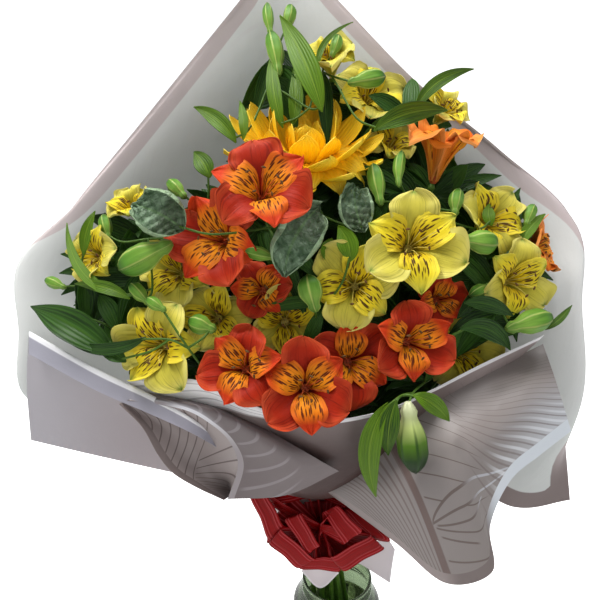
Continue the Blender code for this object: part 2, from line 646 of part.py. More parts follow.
def jar(parts):
    inner = JAR_RADIUS - GLASS
    shoulder = JAR_HEIGHT - 0.030
    profile = (
        (0.0, JAR_FLOOR), (inner - 0.004, JAR_FLOOR), (inner, JAR_FLOOR + 0.006),
        (inner, shoulder), (MOUTH_RADIUS - GLASS, JAR_HEIGHT - 0.014),
        (MOUTH_RADIUS - GLASS, JAR_HEIGHT), (MOUTH_RADIUS, JAR_HEIGHT),
        (MOUTH_RADIUS, JAR_HEIGHT - 0.013), (JAR_RADIUS, shoulder),
        (JAR_RADIUS, 0.005), (JAR_RADIUS - 0.005, 0.0), (0.0, 0.0),
    )
    return turned("jar", profile, "jar", parts)


def water(parts, paths):
    """Water up to its level, with a plain hole round each stem."""
    inner = JAR_RADIUS - GLASS - GAP
    floor = JAR_FLOOR + GAP
    profile = ((0.0, WATER_LEVEL), (inner, WATER_LEVEL), (inner, JAR_FLOOR + 0.0065),
               (inner - 0.0043, floor), (0.0, floor))
    made = turned("water", profile, "water", parts)
    cutters = bpy.data.collections.new("cutters")
    bpy.context.scene.collection.children.link(cutters)
    for path in paths:
        ahead = (path[1] - path[0]).normalized()
        low = path[0] - ahead * 0.02
        high = path[0] + ahead * 0.15
        radius = STEM_RADIUS + 3 * GAP
        cutter = bpy.data.objects.new("stem_hole", cone_between(low, high, radius, radius, 6))
        cutter.hide_render = True
        cutter.display_type = "WIRE"
        cutters.objects.link(cutter)
    cut = made.modifiers.new("stem_holes", "BOOLEAN")
    cut.operation = "DIFFERENCE"
    cut.operand_type = "COLLECTION"
    cut.collection = cutters
    return made


def bud_pieces(row, back):
    """A closed bud from its foot to its tip, with the foot's place and way."""
    stem, u0, v0, u1, v1, width, push = row
    foot = seen(u0, v0, dome(u0, v0) + push + back)
    tip = seen(u1, v1, dome(u1, v1) + push + back)
    way = (tip - foot).normalized()
    middle = foot + (tip - foot) * 0.48
    return [ball(middle, way, (tip - foot).length * 1.04, width, 6, 4)], foot, way


def leaf_curve(row, back):
    """The middle line of a leaf, bowed sideways in the picture and a little at the eye."""
    stem, u0, v0, u1, v1, bow, width, push0, push1 = row[:9]
    um = (u0 + u1) / 2 - bow * (v1 - v0)
    vm = (v0 + v1) / 2 + bow * (u1 - u0)
    a = seen(u0, v0, dome(u0, v0) + push0 + back)
    c = seen(u1, v1, dome(u1, v1) + push1 + back)
    bulge = 0.10 * (c - a).length
    b = seen(um, vm, dome(um, vm) + (push0 + push1) / 2 - bulge + back)
    return a, 2 * b - (a + c) / 2, c


def leaf_pieces(row, back, steps=(3, 2), ruffle=0.0):
    """A lance leaf with a folded middle, its foot's place and its way."""
    a, b, c = leaf_curve(row, back)
    width = row[6]
    # a leaf without a middle row stays flat, so that its stalk meets it
    fold = 0.30 if steps[1] > 1 else 0.0

    def point(s, cross):
        middle = quad(a, b, c, s)
        ahead = (quad(a, b, c, min(1.0, s + 0.02)) - quad(a, b, c, max(0.0, s - 0.02))).normalized()
        look = (EYE - middle).normalized()
        side = ahead.cross(look).normalized()
        lift = side.cross(ahead)
        half = width / 2 * (math.sin(math.pi * s) ** 0.8 if 0.0 < s < 1.0 else 0.0)
        wave = ruffle * math.sin(s * 17.0 + 1.5 * cross) * abs(cross) ** 2
        return middle + side * cross * half + lift * (fold * abs(cross) * half + wave)
    way = (quad(a, b, c, 1 / steps[0]) - a).normalized()
    return [blade(point, steps[0], steps[1], LEAF)], a, way


def grown(kind, row, standing):
    """A bud or leaf, stepped back or a little forward along the line of sight until clear."""
    best = None
    for step in sorted(range(-STEPS_FORWARD, STEPS), key=abs):
        back = step * STEP_BACK
        if kind == "bud":
            pieces, foot, way = bud_pieces(row, back)
        elif kind == "leaf":
            steps = (3, 1) if row[6] < NARROW_LEAF else (3, 2)
            pieces, foot, way = leaf_pieces(row, back, steps)
        else:
            pieces, foot, way = leaf_pieces(row, back, (6, 4), row[9])
        count = standing.hits(pieces, row[0])
        if best is None or count < best[0]:
            best = (count, pieces, foot, way)
        if count == 0:
            break
    return best[1:]


def ribbon_loop(length, width, turn, lean, place):
    """A flattened loop of ribbon, its closed end outward and its ends in the knot."""
    fat = length * 0.30
    root = 0.004

    def point(s, c):
        around = math.tau * (0.06 + 0.88 * s)
        x = root + length * (0.5 - 0.5 * math.cos(around))
        z = fat / 2 * math.sin(around) * (0.35 + 0.65 * x / length)
        return Vector((x, c * width / 2 * (0.55 + 0.45 * x / length), z))
    mesh = blade(point, 6, 1, RIBBON)
    mesh.transform(place @ Matrix.Rotation(turn, 4, "Z") @ Matrix.Rotation(-lean, 4, "Y"))
    return mesh


def bow_meshes():
    """The bow's loops on a knot, and the band that ties the neck."""
    centre = seen(*BOW_SPOT)
    place = Matrix.Translation(centre) @ frame_on(facing(0.0, BOW_TILT))
    pieces = [ball(centre, facing(0.0, BOW_TILT), 0.018, 0.022, 8, 6)]
    # a strap from the knot down to the band round the neck
    band_front = NECK + Vector((-0.002, -TIE_RADIUS - 0.0014 - 0.0029, TIE_LEVEL))
    pieces.append(cone_between(centre, band_front, 0.0045, 0.0030, 6))
    for angle, lean, length, width in BOW_LOOPS:
        pieces.append(ribbon_loop(length, width, math.radians(angle), lean, place))
    return pieces


def band(radius, low, high, thickness, sides):
    """A plain ring round the neck, its walls inward of the radius."""
    bm = bmesh.new()
    middle = NECK + Vector((0, 0, (low + high) / 2))
    bmesh.ops.create_cone(bm, cap_ends=False, segments=sides, radius1=radius, radius2=radius,
                          depth=high - low, matrix=Matrix.Translation(middle))
    bm.normal_update()
    bmesh.ops.solidify(bm, geom=bm.faces[:], thickness=thickness)
    bmesh.ops.recalc_face_normals(bm, faces=bm.faces[:])
    return mesh_of(bm)


def sun_ray(place, turn, lift, length, width, root):
    def point(s, c):
        r = root + length * s * math.cos(lift + 0.35 * s)
        z = length * s * math.sin(lift + 0.35 * s) + 0.12 * width * c * c
        half = width / 2 * math.sin(math.pi * 0.88 * s ** 1.30) ** 0.8
        return Vector((r, c * half, z))
    mesh = blade(point, 3, 2, 0.0009)
    mesh.transform(place @ Matrix.Rotation(turn, 4, "Z"))
    return mesh


def sunflower_meshes():
    """Two rings of rays on a round base."""
    u, v, depth = SUN_SPOT
    right, up = SUN_FACING
    place = Matrix.Translation(seen(u, v, depth)) @ frame_on(facing(right, up))
    at = place @ Vector((0, 0, 0))
    way = facing(right, up)
    rays = [cone_between(at - way * 0.004, at + way * 0.001, SUN_DISC * 0.8, SUN_DISC * 1.12, 12)]
    draw = random.Random(3)
    for ring, (lift, length, offset) in enumerate(((0.10, 1.0, 0.0), (0.42, 0.92, 0.5))):
        for k in range(SUN_RAYS):
            turn = math.tau * (k + offset + draw.uniform(-0.1, 0.1)) / SUN_RAYS
            rays.append(sun_ray(place @ Matrix.Translation((0, 0, -0.003 + 0.002 * ring)), turn,
                                lift + draw.uniform(-0.03, 0.03) + 0.12 * (k % 2),
                                SUN_RAY_LENGTH * length * draw.uniform(0.92, 1.05),
                                SUN_RAY_WIDTH, SUN_DISC * 0.80))
    return rays, at, way


def disc_mesh(at, way):
    """The domed disc, its florets raised in rings."""
    bm = bmesh.new()
    place = Matrix.Translation(at + way * (0.001 + GAP)) @ frame_on(way)
    bmesh.ops.create_uvsphere(bm, u_segments=16, v_segments=8, radius=SUN_DISC * 0.70)
    bmesh.ops.bisect_plane(bm, geom=bm.verts[:] + bm.edges[:] + bm.faces[:], plane_co=(0, 0, 0),
                           plane_no=(0, 0, -1), clear_outer=True)
    bmesh.ops.edgeloop_fill(bm, edges=[e for e in bm.edges if e.is_boundary])
    for vert in bm.verts:
        rings = math.hypot(vert.co.x, vert.co.y) / SUN_DISC
        bump = 0.0007 * math.sin(9 * rings) * math.cos(8 * math.atan2(vert.co.y, vert.co.x))
        vert.co.z *= 0.34
        if vert.co.z > 1e-6:
            vert.co.z += bump * (1 - rings * 0.6) + 0.0008
    bmesh.ops.recalc_face_normals(bm, faces=bm.faces[:])
    bm.transform(place)
    return mesh_of(bm)


def tail_meshes():
    """The film's gathered ends under the tie: one outside the jar, one in its mouth."""
    ring = band(NECK_RADIUS, NECK_LOW - 0.014, NECK_LOW - 2 * GAP, 0.0016, 16)
    return [ring] + [row_sheet(rows, 2, 3) for rows in TAILS]


def clear_scene():
    for old in list(bpy.data.objects):
        bpy.data.objects.remove(old)


def main():
    clear_scene()
    parts = bpy.data.collections.new("flower_bouquet")
    bpy.context.scene.collection.children.link(parts)
    standing = Standing()

    # wrapper first, because everything else keeps clear of it
    back = fan_sheet(BACK_SHEET, 1, 8)
    front = fan_sheet(FRONT_SHEET, 2, 7)
    wing = row_sheet((WING_FOLD, WING_MIDDLE, WING_HEM), 4, 10)
    curl = row_sheet((CURL_OUTER, CURL_MIDDLE, CURL_MOUTH), 3, 6)
    left = row_sheet((LEFT_LOWER, LEFT_BELLY, LEFT_RIM, LEFT_LIP), 5, 6)
    standing.add("wrap_back", [back])
    standing.add("wrap_front", [front, wing, curl, left])
    fuse("wrap_back", [back], "film", parts)
    fuse("wrap_front", [front, wing, curl, left], "film", parts)
    tails = tail_meshes()
    fuse("wrap_tails", tails, "film", parts)

    # stems through the neck
    greens, paths, anchors = {}, [], {}
    for name, (spot, place) in STEMS.items():
        umbel = seen(*spot)
        path = stem_path(place, umbel)
        paths.append(path)
        # stalks may spring from the umbel, or from a bend of the stem a little lower
        anchors[name] = [umbel, path[-2]]
        beyond = umbel + (path[-1] - path[-2]).normalized() * 0.004
        stem = tube(path[:-1] + [beyond], STEM_RADIUS, 1)
        greens[name] = [stem]
        standing.add(name, [stem])

    rays, sun_at, sun_way = sunflower_meshes()
    base = sun_at - sun_way * (0.004 + GAP)
    sun_path = stem_path(SUNFLOWER_NECK, base - sun_way * 0.022)
    paths.append(sun_path)
    sun_stem = [tube(sun_path + [base - sun_way * 0.004], STEM_RADIUS, 1),
                cone_between(base - sun_way * 0.009, base, 0.004, SUN_DISC * 0.78, 10)]
    standing.add("sunflower_stem", sun_stem)
    standing.add("sunflower_petals", rays)
    fuse("sunflower_stem", sun_stem, "green", parts)
    fuse("sunflower_petals", rays, "sun", parts)
    fuse("sunflower_disc", [disc_mesh(sun_at, sun_way)], "disc", parts)

    # blooms, front ones first
    placed = {}
    for seed, (name, row) in enumerate(BLOOMS.items(), FIRST_SEED):
        pieces = bloom_pieces(row[7], row[8], seed)
        matrix, there = settle(lambda back, row=row: bloom_place(row, back), pieces, standing)
        standing.add(name, there)
        fuse(name, there, name.split("_")[0], parts)
        placed[name] = (row[0], matrix)

    # each bloom's pedicel, swollen to an ovary under the petals
    for name, (stem, matrix) in placed.items():
        way = (matrix.to_3x3() @ Vector((0, 0, 1))).normalized()
        top = matrix @ Vector((0, 0, CORE_LOW - GAP))
        low = top - way * OVARY
        points = route(low, -way, anchors[stem][0], Vector((0, 0, 0.6)), standing, stem)[1]
        shares = [2.4, 2.4] + [1.0] * len(points)
        swelling = [top, low + way * OVARY * 0.4]
        stalk = tube(swelling + points, PEDICEL_RADIUS, 0, shares)
        greens[stem].append(stalk)
        standing.add(stem, [stalk])
        anchors[stem] += points[1:-1]

    # buds and leaves, each on its own stalk
    jobs = [("bud", row) for row in BUDS] + [("leaf", row) for row in LEAVES]
    jobs += [("wavy", ("dark_leaf", *row)) for row in WAVY_LEAVES]
    for kind, row in jobs:
        stem = row[0]
        pieces, foot, way = grown(kind, row, standing)
        near = sorted(anchors[stem], key=lambda spot: (spot - foot).length)
        best = None
        for anchor in near[:6]:
            tried = route(foot + way * 0.004, -way, anchor, Vector((0, 0, 0.3)), standing, stem)
            if best is None or tried[0] < best[0]:
                best = tried
            if best[0] == 0:
                break
        points = best[1]
        stalk = tube(points, PEDICEL_RADIUS, 0)
        greens[stem] += pieces + [stalk]
        standing.add(stem, pieces + [stalk])
        anchors[stem] += points[1:-1]

    for name, meshes in greens.items():
        fuse("stem_" + name, meshes, "dark" if name == "dark_leaf" else "green", parts)

    # ribbon
    loops = bow_meshes()
    fuse("ribbon_bow", loops, "ribbon", parts)
    ring = band(TIE_RADIUS + 0.0014, TIE_LEVEL - TIE_HEIGHT / 2, TIE_LEVEL + TIE_HEIGHT / 2,
                0.0014, 20)
    fuse("ribbon_tie", [ring], "ribbon", parts)
    standing.add("ribbon_bow", loops)

    jar(parts)
    water(parts, paths)


main()
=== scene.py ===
"""The bouquet dressed for the eye: fine flowers, leaves, film, bow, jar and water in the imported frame."""

import json
import math
import random

import bmesh
import bpy
import numpy as np
from mathutils import Matrix, Vector
from mathutils.bvhtree import BVHTree

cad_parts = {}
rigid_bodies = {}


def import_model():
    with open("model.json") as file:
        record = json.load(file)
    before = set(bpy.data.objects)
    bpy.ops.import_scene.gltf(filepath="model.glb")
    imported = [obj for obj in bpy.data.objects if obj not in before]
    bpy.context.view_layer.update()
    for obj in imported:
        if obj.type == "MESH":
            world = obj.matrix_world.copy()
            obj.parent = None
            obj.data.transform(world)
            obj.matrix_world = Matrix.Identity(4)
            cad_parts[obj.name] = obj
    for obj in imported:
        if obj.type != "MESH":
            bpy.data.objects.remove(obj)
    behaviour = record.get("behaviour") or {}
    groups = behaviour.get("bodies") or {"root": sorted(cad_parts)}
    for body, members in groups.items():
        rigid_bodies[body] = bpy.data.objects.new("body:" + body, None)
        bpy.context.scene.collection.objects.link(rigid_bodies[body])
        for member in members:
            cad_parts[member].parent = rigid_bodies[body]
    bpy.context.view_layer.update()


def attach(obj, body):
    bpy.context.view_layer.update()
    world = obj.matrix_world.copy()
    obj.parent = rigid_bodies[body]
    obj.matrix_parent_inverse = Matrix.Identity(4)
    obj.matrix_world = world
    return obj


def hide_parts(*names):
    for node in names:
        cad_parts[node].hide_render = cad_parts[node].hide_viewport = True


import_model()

# Jar and water
JAR_HEIGHT = 0.150
JAR_RADIUS = 0.0440
MOUTH_RADIUS = 0.0345
GLASS = 0.0032
JAR_FLOOR = 0.0045
WATER_LEVEL = 0.104
GAP = 0.0003

# The tied neck of the wrapper
NECK = Vector((-0.012, -0.002, 0.0))
NECK_LOW = 0.186
NECK_HIGH = 0.205
STEM_RADIUS = 0.0022
PEDICEL_RADIUS = 0.0010
STEM_SPREAD = 2.5
FILM = 0.0008
NECK_RADIUS = 0.0176
TIE_RADIUS = 0.0189
TIE_HEIGHT = 0.008
TIE_LEVEL = 0.196

# The eye that the arrangement is laid out from
EYE = Vector((-0.037, -0.470, 0.614))
PITCH = math.radians(20)
FOCAL = 600.0
MIDDLE = 300.0
AHEAD = Vector((0.0, math.cos(PITCH), -math.sin(PITCH)))
RIGHT = Vector((1.0, 0.0, 0.0))
DOWN = Vector((0.0, -math.sin(PITCH), -math.cos(PITCH)))

# Depth of the flower dome's face down its middle line, by v, and how it falls back sideways
DOME = ((0, 0.520), (60, 0.505), (150, 0.480), (200, 0.462), (250, 0.450),
        (300, 0.444), (350, 0.442), (400, 0.440), (520, 0.455))
DOME_MIDDLE = 310.0
DOME_FALL = 7e-7

# Blades and small parts
PETAL = 0.0008
LEAF = 0.0008
FINE_BLADE = 0.0005
FINE_FILM = 0.0004
# painted where a piece has no film edge: metres, further than any border is wide
NO_EDGE = 9.0
CORE_LOW = -0.0020
CORE_HIGH = 0.0060
OVARY = 0.0080
STEP_BACK = 0.002
STEPS = 60
STEPS_FORWARD = 12
FIRST_SEED = 40
SMALL_BLOOM = 0.055
NARROW_LEAF = 0.013

# Each stem: the umbel it rises to (u, v, depth) and its place in the neck (x, y)
STEMS = {
    "red_high": ((255, 235, 0.535), (-0.0050, 0.0075)),
    "red_low": ((300, 388, 0.505), (-0.0040, -0.0080)),
    "red_right": ((405, 345, 0.510), (0.0025, -0.0090)),
    "orange": ((440, 215, 0.540), (0.0085, 0.0070)),
    "yellow_middle": ((375, 300, 0.525), (0.0050, -0.0015)),
    "yellow_right": ((495, 265, 0.530), (0.0115, 0.0000)),
    "yellow_low": ((440, 375, 0.505), (0.0080, -0.0075)),
    "yellow_corner": ((200, 345, 0.510), (-0.0110, -0.0030)),
    "yellow_left": ((140, 290, 0.530), (-0.0100, 0.0040)),
    "yellow_top": ((365, 115, 0.535), (0.0035, 0.0095)),
    "green_top": ((281, 98, 0.545), (-0.0016, 0.0107)),
    "dark_leaf": ((314, 285, 0.542), (-0.0005, -0.0030)),
}
SUNFLOWER_NECK = (-0.0050, 0.0020)

# Each bloom: stem, face centre (u, v), push back, facing (right, up), roll, size, openness
BLOOMS = {
    "red_bloom_1": ("red_high", 262, 192, -0.030, 0.05, 0.35, 100, 0.070, 1.0),
    "yellow_bloom_1": ("yellow_middle", 411, 245, -0.004, 0.05, 0.20, 90, 0.072, 1.0),
    "red_bloom_2": ("red_high", 220, 240, -0.006, -0.35, 0.05, 60, 0.072, 1.0),
    "red_bloom_4": ("red_low", 306, 388, 0.000, 0.05, 0.15, 95, 0.064, 1.0),
    "yellow_bloom_2": ("yellow_middle", 354, 285, -0.004, -0.15, 0.10, 20, 0.068, 0.9),
    "red_bloom_3": ("red_low", 243, 368, 0.000, -0.20, 0.25, 80, 0.058, 1.0),
    "red_bloom_6": ("red_right", 410, 342, 0.004, 0.20, 0.05, 90, 0.058, 1.0),
    "yellow_bloom_6": ("yellow_corner", 160, 346, 0.004, -0.30, 0.10, 70, 0.068, 1.0),
    "yellow_bloom_3": ("yellow_right", 488, 222, 0.010, 0.35, 0.30, 40, 0.062, 0.9),
    "yellow_bloom_4": ("yellow_right", 512, 281, 0.008, 0.40, 0.00, 75, 0.060, 1.0),
    "red_bloom_5": ("red_low", 350, 362, 0.016, 0.15, 0.10, 30, 0.062, 1.0),
    "yellow_bloom_7": ("yellow_left", 178, 272, 0.010, -0.30, 0.20, 50, 0.060, 0.9),
    "orange_bloom_1": ("orange", 438, 162, 0.004, 0.15, 0.90, 20, 0.060, 0.7),
    "yellow_bloom_5": ("yellow_low", 458, 350, 0.008, 0.25, 0.20, 100, 0.066, 1.0),
    "red_bloom_7": ("red_low", 262, 290, 0.022, -0.10, 0.10, 0, 0.046, 0.9),
    "yellow_bloom_8": ("yellow_left", 97, 256, 0.004, -0.45, 0.15, 30, 0.048, 0.9),
    "yellow_bloom_9": ("yellow_left", 132, 208, 0.010, -0.25, 0.60, 0, 0.046, 0.6),
    "yellow_bloom_10": ("yellow_top", 330, 60, 0.004, -0.15, 0.60, 45, 0.053, 0.7),
    "yellow_bloom_11": ("yellow_top", 368, 98, -0.004, 0.20, 0.40, 10, 0.062, 0.9),
    "yellow_bloom_12": ("yellow_top", 444, 112, 0.010, 0.40, 0.50, 80, 0.046, 0.8),
    "orange_bloom_2": ("yellow_right", 536, 248, 0.020, 0.75, 0.25, 50, 0.048, 0.8),
    "yellow_bloom_13": ("yellow_top", 390, 146, 0.014, 0.15, 0.50, 60, 0.046, 0.8),
    "yellow_bloom_14": ("yellow_corner", 216, 318, 0.018, -0.15, 0.10, 10, 0.056, 0.9),
    "yellow_bloom_15": ("yellow_middle", 285, 322, 0.024, 0.00, 0.00, 90, 0.054, 0.9),
    "red_bloom_8": ("red_right", 438, 300, 0.026, 0.25, 0.10, 0, 0.044, 0.9),
}

# The sunflower: face centre, facing and its two rings of rays
SUN_SPOT = (304, 163, 0.508)
SUN_FACING = (0.03, 0.80)
SUN_DISC = 0.0150
SUN_RAYS = 11
SUN_RAY_LENGTH = 0.061
SUN_RAY_WIDTH = 0.0240
# how far its round base reaches back, and how far behind that its stem's bend ends
SUN_BACK = 0.004
SUN_BEND = 0.022
# each ring's lift, share of the length and offset in rays
SUN_RINGS = ((0.10, 1.0, 0.0), (0.42, 0.92, 0.5))

# Each bud: stem, foot (u, v), tip (u, v), width, push back
BUDS = (
    ("green_top", 271, 36, 267, 2, 0.009, 0.000),
    ("green_top", 285, 32, 291, 4, 0.011, 0.002),
    ("green_top", 279, 76, 270, 30, 0.014, 0.000),
    ("yellow_top", 331, 58, 338, 34, 0.010, -0.008),
    ("yellow_top", 348, 83, 386, 76, 0.015, -0.014),
    ("orange", 399, 187, 402, 150, 0.009, -0.004),
    ("orange", 381, 206, 373, 163, 0.013, -0.002),
    ("orange", 455, 216, 459, 188, 0.011, -0.006),
    ("yellow_left", 172, 243, 118, 270, 0.022, -0.008),
    ("yellow_left", 109, 240, 103, 214, 0.010, -0.002),
    ("yellow_left", 150, 304, 130, 283, 0.011, -0.004),
    ("yellow_corner", 166, 311, 146, 298, 0.009, -0.004),
    ("yellow_corner", 216, 330, 188, 320, 0.014, -0.002),
    ("yellow_middle", 316, 312, 307, 274, 0.018, -0.002),
    ("red_high", 277, 258, 244, 250, 0.010, -0.010),
    ("yellow_low", 408, 402, 416, 474, 0.021, -0.022),
    ("yellow_right", 526, 226, 534, 204, 0.010, 0.000),
    ("yellow_right", 491, 285, 469, 296, 0.010, -0.002),
    ("yellow_right", 506, 329, 553, 316, 0.018, -0.004),
    ("red_high", 186, 198, 168, 180, 0.011, 0.000),
    ("yellow_left", 66, 288, 45, 279, 0.009, 0.000),
    ("yellow_middle", 460, 240, 498, 243, 0.018, -0.008),
)

# Each leaf: stem, foot (u, v), tip (u, v), sideways bow (share of length), width, push at
# the foot and at the tip
LEAVES = (
    ("green_top", 236, 143, 194, 107, 0.10, 0.013, 0.000, 0.002),
    ("green_top", 243, 140, 240, 101, 0.05, 0.008, 0.002, 0.004),
    ("green_top", 322, 112, 280, 16, 0.04, 0.020, -0.012, -0.006),
    ("green_top", 283, 128, 272, 52, -0.05, 0.012, 0.004, 0.004),
    ("green_top", 292, 126, 294, 68, 0.05, 0.012, 0.006, 0.004),
    ("green_top", 318, 82, 353, 22, -0.20, 0.005, -0.004, -0.004),
    ("yellow_top", 374, 131, 447, 110, -0.10, 0.017, -0.014, -0.008),
    ("yellow_top", 414, 112, 474, 69, -0.14, 0.011, 0.000, 0.000),
    ("yellow_left", 128, 297, 67, 223, -0.20, 0.009, -0.004, -0.002),
    ("yellow_left", 84, 256, 95, 211, -0.08, 0.009, 0.000, 0.000),
    ("yellow_left", 130, 299, 75, 284, 0.08, 0.010, -0.006, -0.004),
    ("yellow_corner", 112, 354, 31, 307, 0.05, 0.026, -0.002, 0.000),
    ("yellow_corner", 146, 337, 70, 343, -0.12, 0.010, -0.010, -0.004),
    ("yellow_corner", 126, 362, 97, 347, 0.05, 0.012, -0.006, -0.004),
    ("yellow_low", 388, 403, 376, 497, 0.13, 0.016, -0.022, 0.000),
    ("yellow_low", 396, 400, 388, 455, 0.05, 0.014, -0.025, -0.018),
    ("yellow_low", 413, 395, 449, 421, -0.10, 0.013, -0.024, -0.020),
    ("yellow_right", 464, 303, 513, 316, -0.10, 0.012, -0.010, -0.008),
    ("yellow_low", 460, 329, 510, 350, -0.20, 0.015, -0.012, -0.006),
    ("yellow_right", 545, 330, 572, 305, 0.05, 0.006, 0.000, 0.000),
    ("orange", 431, 226, 429, 196, 0.08, 0.012, -0.004, 0.002),
    ("orange", 492, 226, 489, 204, -0.08, 0.010, -0.004, 0.002),
    ("yellow_right", 520, 246, 545, 214, -0.08, 0.010, 0.004, 0.004),
    ("yellow_middle", 350, 262, 338, 226, 0.10, 0.016, 0.006, 0.004),
    ("yellow_middle", 330, 262, 332, 238, -0.10, 0.012, 0.010, 0.010),
    ("yellow_corner", 92, 318, 44, 324, 0.06, 0.014, 0.008, 0.004),
    ("red_high", 210, 178, 194, 152, 0.06, 0.015, -0.004, -0.006),
)

# Each broad wavy leaf: foot, tip, bow, width, pushes and the ruffle's height
WAVY_LEAVES = (
    (320, 206, 284, 277, 0.10, 0.036, -0.006, -0.012, 0.0040),
    (364, 232, 354, 184, -0.06, 0.026, 0.000, 0.002, 0.0020),
    (184, 230, 132, 204, 0.06, 0.034, 0.004, -0.006, 0.0022),
)

# Wrapper sheets: each column is an angle round the neck, the radius and height where it
# leaves the neck, then points (u, v, depth) outward
BACK_SHEET = (
    (202, 0.024, 0.212, (205, 452, 0.566), (100, 428, 0.543), (46, 412, 0.545)),
    (190, 0.024, 0.212, (158, 430, 0.570), (30, 396, 0.524), (44, 396, 0.552)),
    (176, 0.024, 0.212, (160, 395, 0.584), (26, 335, 0.524), (42, 338, 0.556)),
    (158, 0.023, 0.213, (175, 350, 0.594), (29, 271, 0.532), (36, 262, 0.550)),
    (140, 0.022, 0.216, (195, 300, 0.602), (88, 216, 0.550), (75, 204, 0.550)),
    (122, 0.021, 0.220, (225, 260, 0.604), (152, 146, 0.556), (135, 130, 0.550)),
    (106, 0.020, 0.224, (255, 235, 0.604), (205, 84, 0.555), (190, 62, 0.548)),
    (93, 0.020, 0.226, (285, 225, 0.602), (253, 27, 0.551), (240, 0, 0.542)),
    (82, 0.020, 0.226, (305, 225, 0.600), (287, -18, 0.548), (286, -57, 0.539)),
    (70, 0.020, 0.226, (330, 230, 0.598), (329, 26, 0.549), (338, 0, 0.542)),
    (54, 0.020, 0.224, (365, 250, 0.594), (398, 100, 0.548), (418, 83, 0.538)),
    (37, 0.022, 0.220, (398, 280, 0.588), (480, 163, 0.543), (500, 150, 0.533)),
    (20, 0.023, 0.216, (428, 322, 0.580), (563, 238, 0.533), (573, 222, 0.540)),
    (3, 0.024, 0.213, (448, 372, 0.570), (575, 312, 0.526), (562, 314, 0.554)),
    (-12, 0.024, 0.212, (452, 425, 0.564), (574, 405, 0.522), (563, 408, 0.550)),
    (-22, 0.024, 0.212, (440, 478, 0.558), (514, 507, 0.537), (570, 500, 0.520)),
)
FRONT_SHEET = (
    (214, 0.040, 0.248, (220, 466, 0.512), (160, 412, 0.479), (126, 381, 0.464)),
    (230, 0.033, 0.254, (250, 474, 0.500), (212, 412, 0.462), (196, 380, 0.449)),
    (250, 0.027, 0.258, (278, 488, 0.492), (258, 432, 0.452), (249, 404, 0.439)),
    (268, 0.025, 0.260, (312, 496, 0.488), (315, 448, 0.448), (316, 420, 0.434)),
    (286, 0.026, 0.260, (352, 490, 0.490), (369, 440, 0.452), (378, 412, 0.438)),
    (304, 0.032, 0.257, (385, 482, 0.496), (413, 421, 0.462), (427, 392, 0.447)),
    (320, 0.038, 0.252, (414, 474, 0.508), (458, 402, 0.478), (482, 364, 0.465)),
    (330, 0.046, 0.248, (438, 466, 0.521), (505, 375, 0.500), (544, 335, 0.489)),
)
# The front film's left part: its rows run from under the front sheet to the left, as its
# lower edge, its belly, its rim and the lip that folds over outside
LEFT_LOWER = ((244, 486, 0.514), (205, 478, 0.504), (167, 471, 0.508), (95, 455, 0.509), (31, 440, 0.505))
LEFT_BELLY = ((244, 478, 0.510), (205, 452, 0.492), (165, 432, 0.488), (95, 405, 0.489), (27, 385, 0.494))
LEFT_RIM = ((246, 460, 0.500), (202, 425, 0.462), (153, 396, 0.460), (95, 368, 0.470), (29, 332, 0.484))
LEFT_LIP = ((246, 466, 0.494), (199, 437, 0.456), (150, 414, 0.455), (95, 390, 0.464), (29, 354, 0.477))
# The curl in front: its lower left outline and the bright edge of its mouth, top to bottom
CURL_OUTER = ((119, 404, 0.458), (142, 427, 0.460), (158, 455, 0.464), (173, 473, 0.466),
              (196, 487, 0.468), (224, 500, 0.472))
CURL_MIDDLE = ((124, 402, 0.460), (164, 422, 0.472), (186, 440, 0.478), (200, 458, 0.482),
               (214, 476, 0.484), (236, 492, 0.508))
CURL_MOUTH = ((128, 400, 0.458), (182, 409, 0.454), (211, 424, 0.454), (230, 442, 0.458),
              (240, 466, 0.472), (248, 484, 0.510))
# The right wing: the fold where it leaves the front sheet, its middle and its outer hem
WING_FOLD = ((322, 482, 0.492), (352, 466, 0.482), (386, 440, 0.470), (416, 414, 0.464),
             (446, 390, 0.468), (480, 372, 0.480), (514, 358, 0.494), (543, 344, 0.500))
WING_MIDDLE = ((326, 490, 0.486), (368, 492, 0.470), (415, 500, 0.446), (450, 480, 0.436),
               (470, 450, 0.436), (498, 426, 0.446), (530, 400, 0.460), (557, 385, 0.476))
WING_HEM = ((333, 496, 0.482), (396, 543, 0.472), (446, 583, 0.466), (492, 572, 0.458),
            (490, 526, 0.452), (510, 481, 0.456), (540, 455, 0.466), (571, 431, 0.480))
# The film's ends below the tie, each from the neck outward: one hangs beside the jar, one
# dips into its mouth
TAILS = (
    (((342, 551, 0.588), (370, 543, 0.592), (387, 540, 0.596), (395, 549, 0.602)),
     ((342, 555, 0.589), (366, 553, 0.594), (384, 558, 0.598), (392, 567, 0.602)),
     ((342, 560, 0.590), (360, 564, 0.596), (376, 574, 0.600), (390, 583, 0.602))),
    (((314, 564, 0.5724), (307, 567, 0.575), (301, 571, 0.576)),
     ((321, 565, 0.5724), (320, 576, 0.576), (320, 588, 0.578)),
     ((328, 565, 0.5724), (334, 569, 0.576), (339, 573, 0.578))),
)

# The bow's middle as seen, and how far up it faces
BOW_SPOT = (319, 533, 0.534)
BOW_TILT = 0.10

# The bow's flat loops behind: angle in the bow's plane, lean forward, length, width
BOW_BACKING = (
    (8, 0.10, 0.042, 0.020), (40, 0.20, 0.034, 0.020), (140, 0.20, 0.038, 0.020), (90, 0.10, 0.026, 0.020),
    (172, 0.10, 0.042, 0.020), (156, 0.12, 0.036, 0.022), (208, 0.12, 0.028, 0.020),
               (246, 0.15, 0.018, 0.018),
    (292, 0.15, 0.024, 0.018), (330, 0.12, 0.034, 0.020),
)
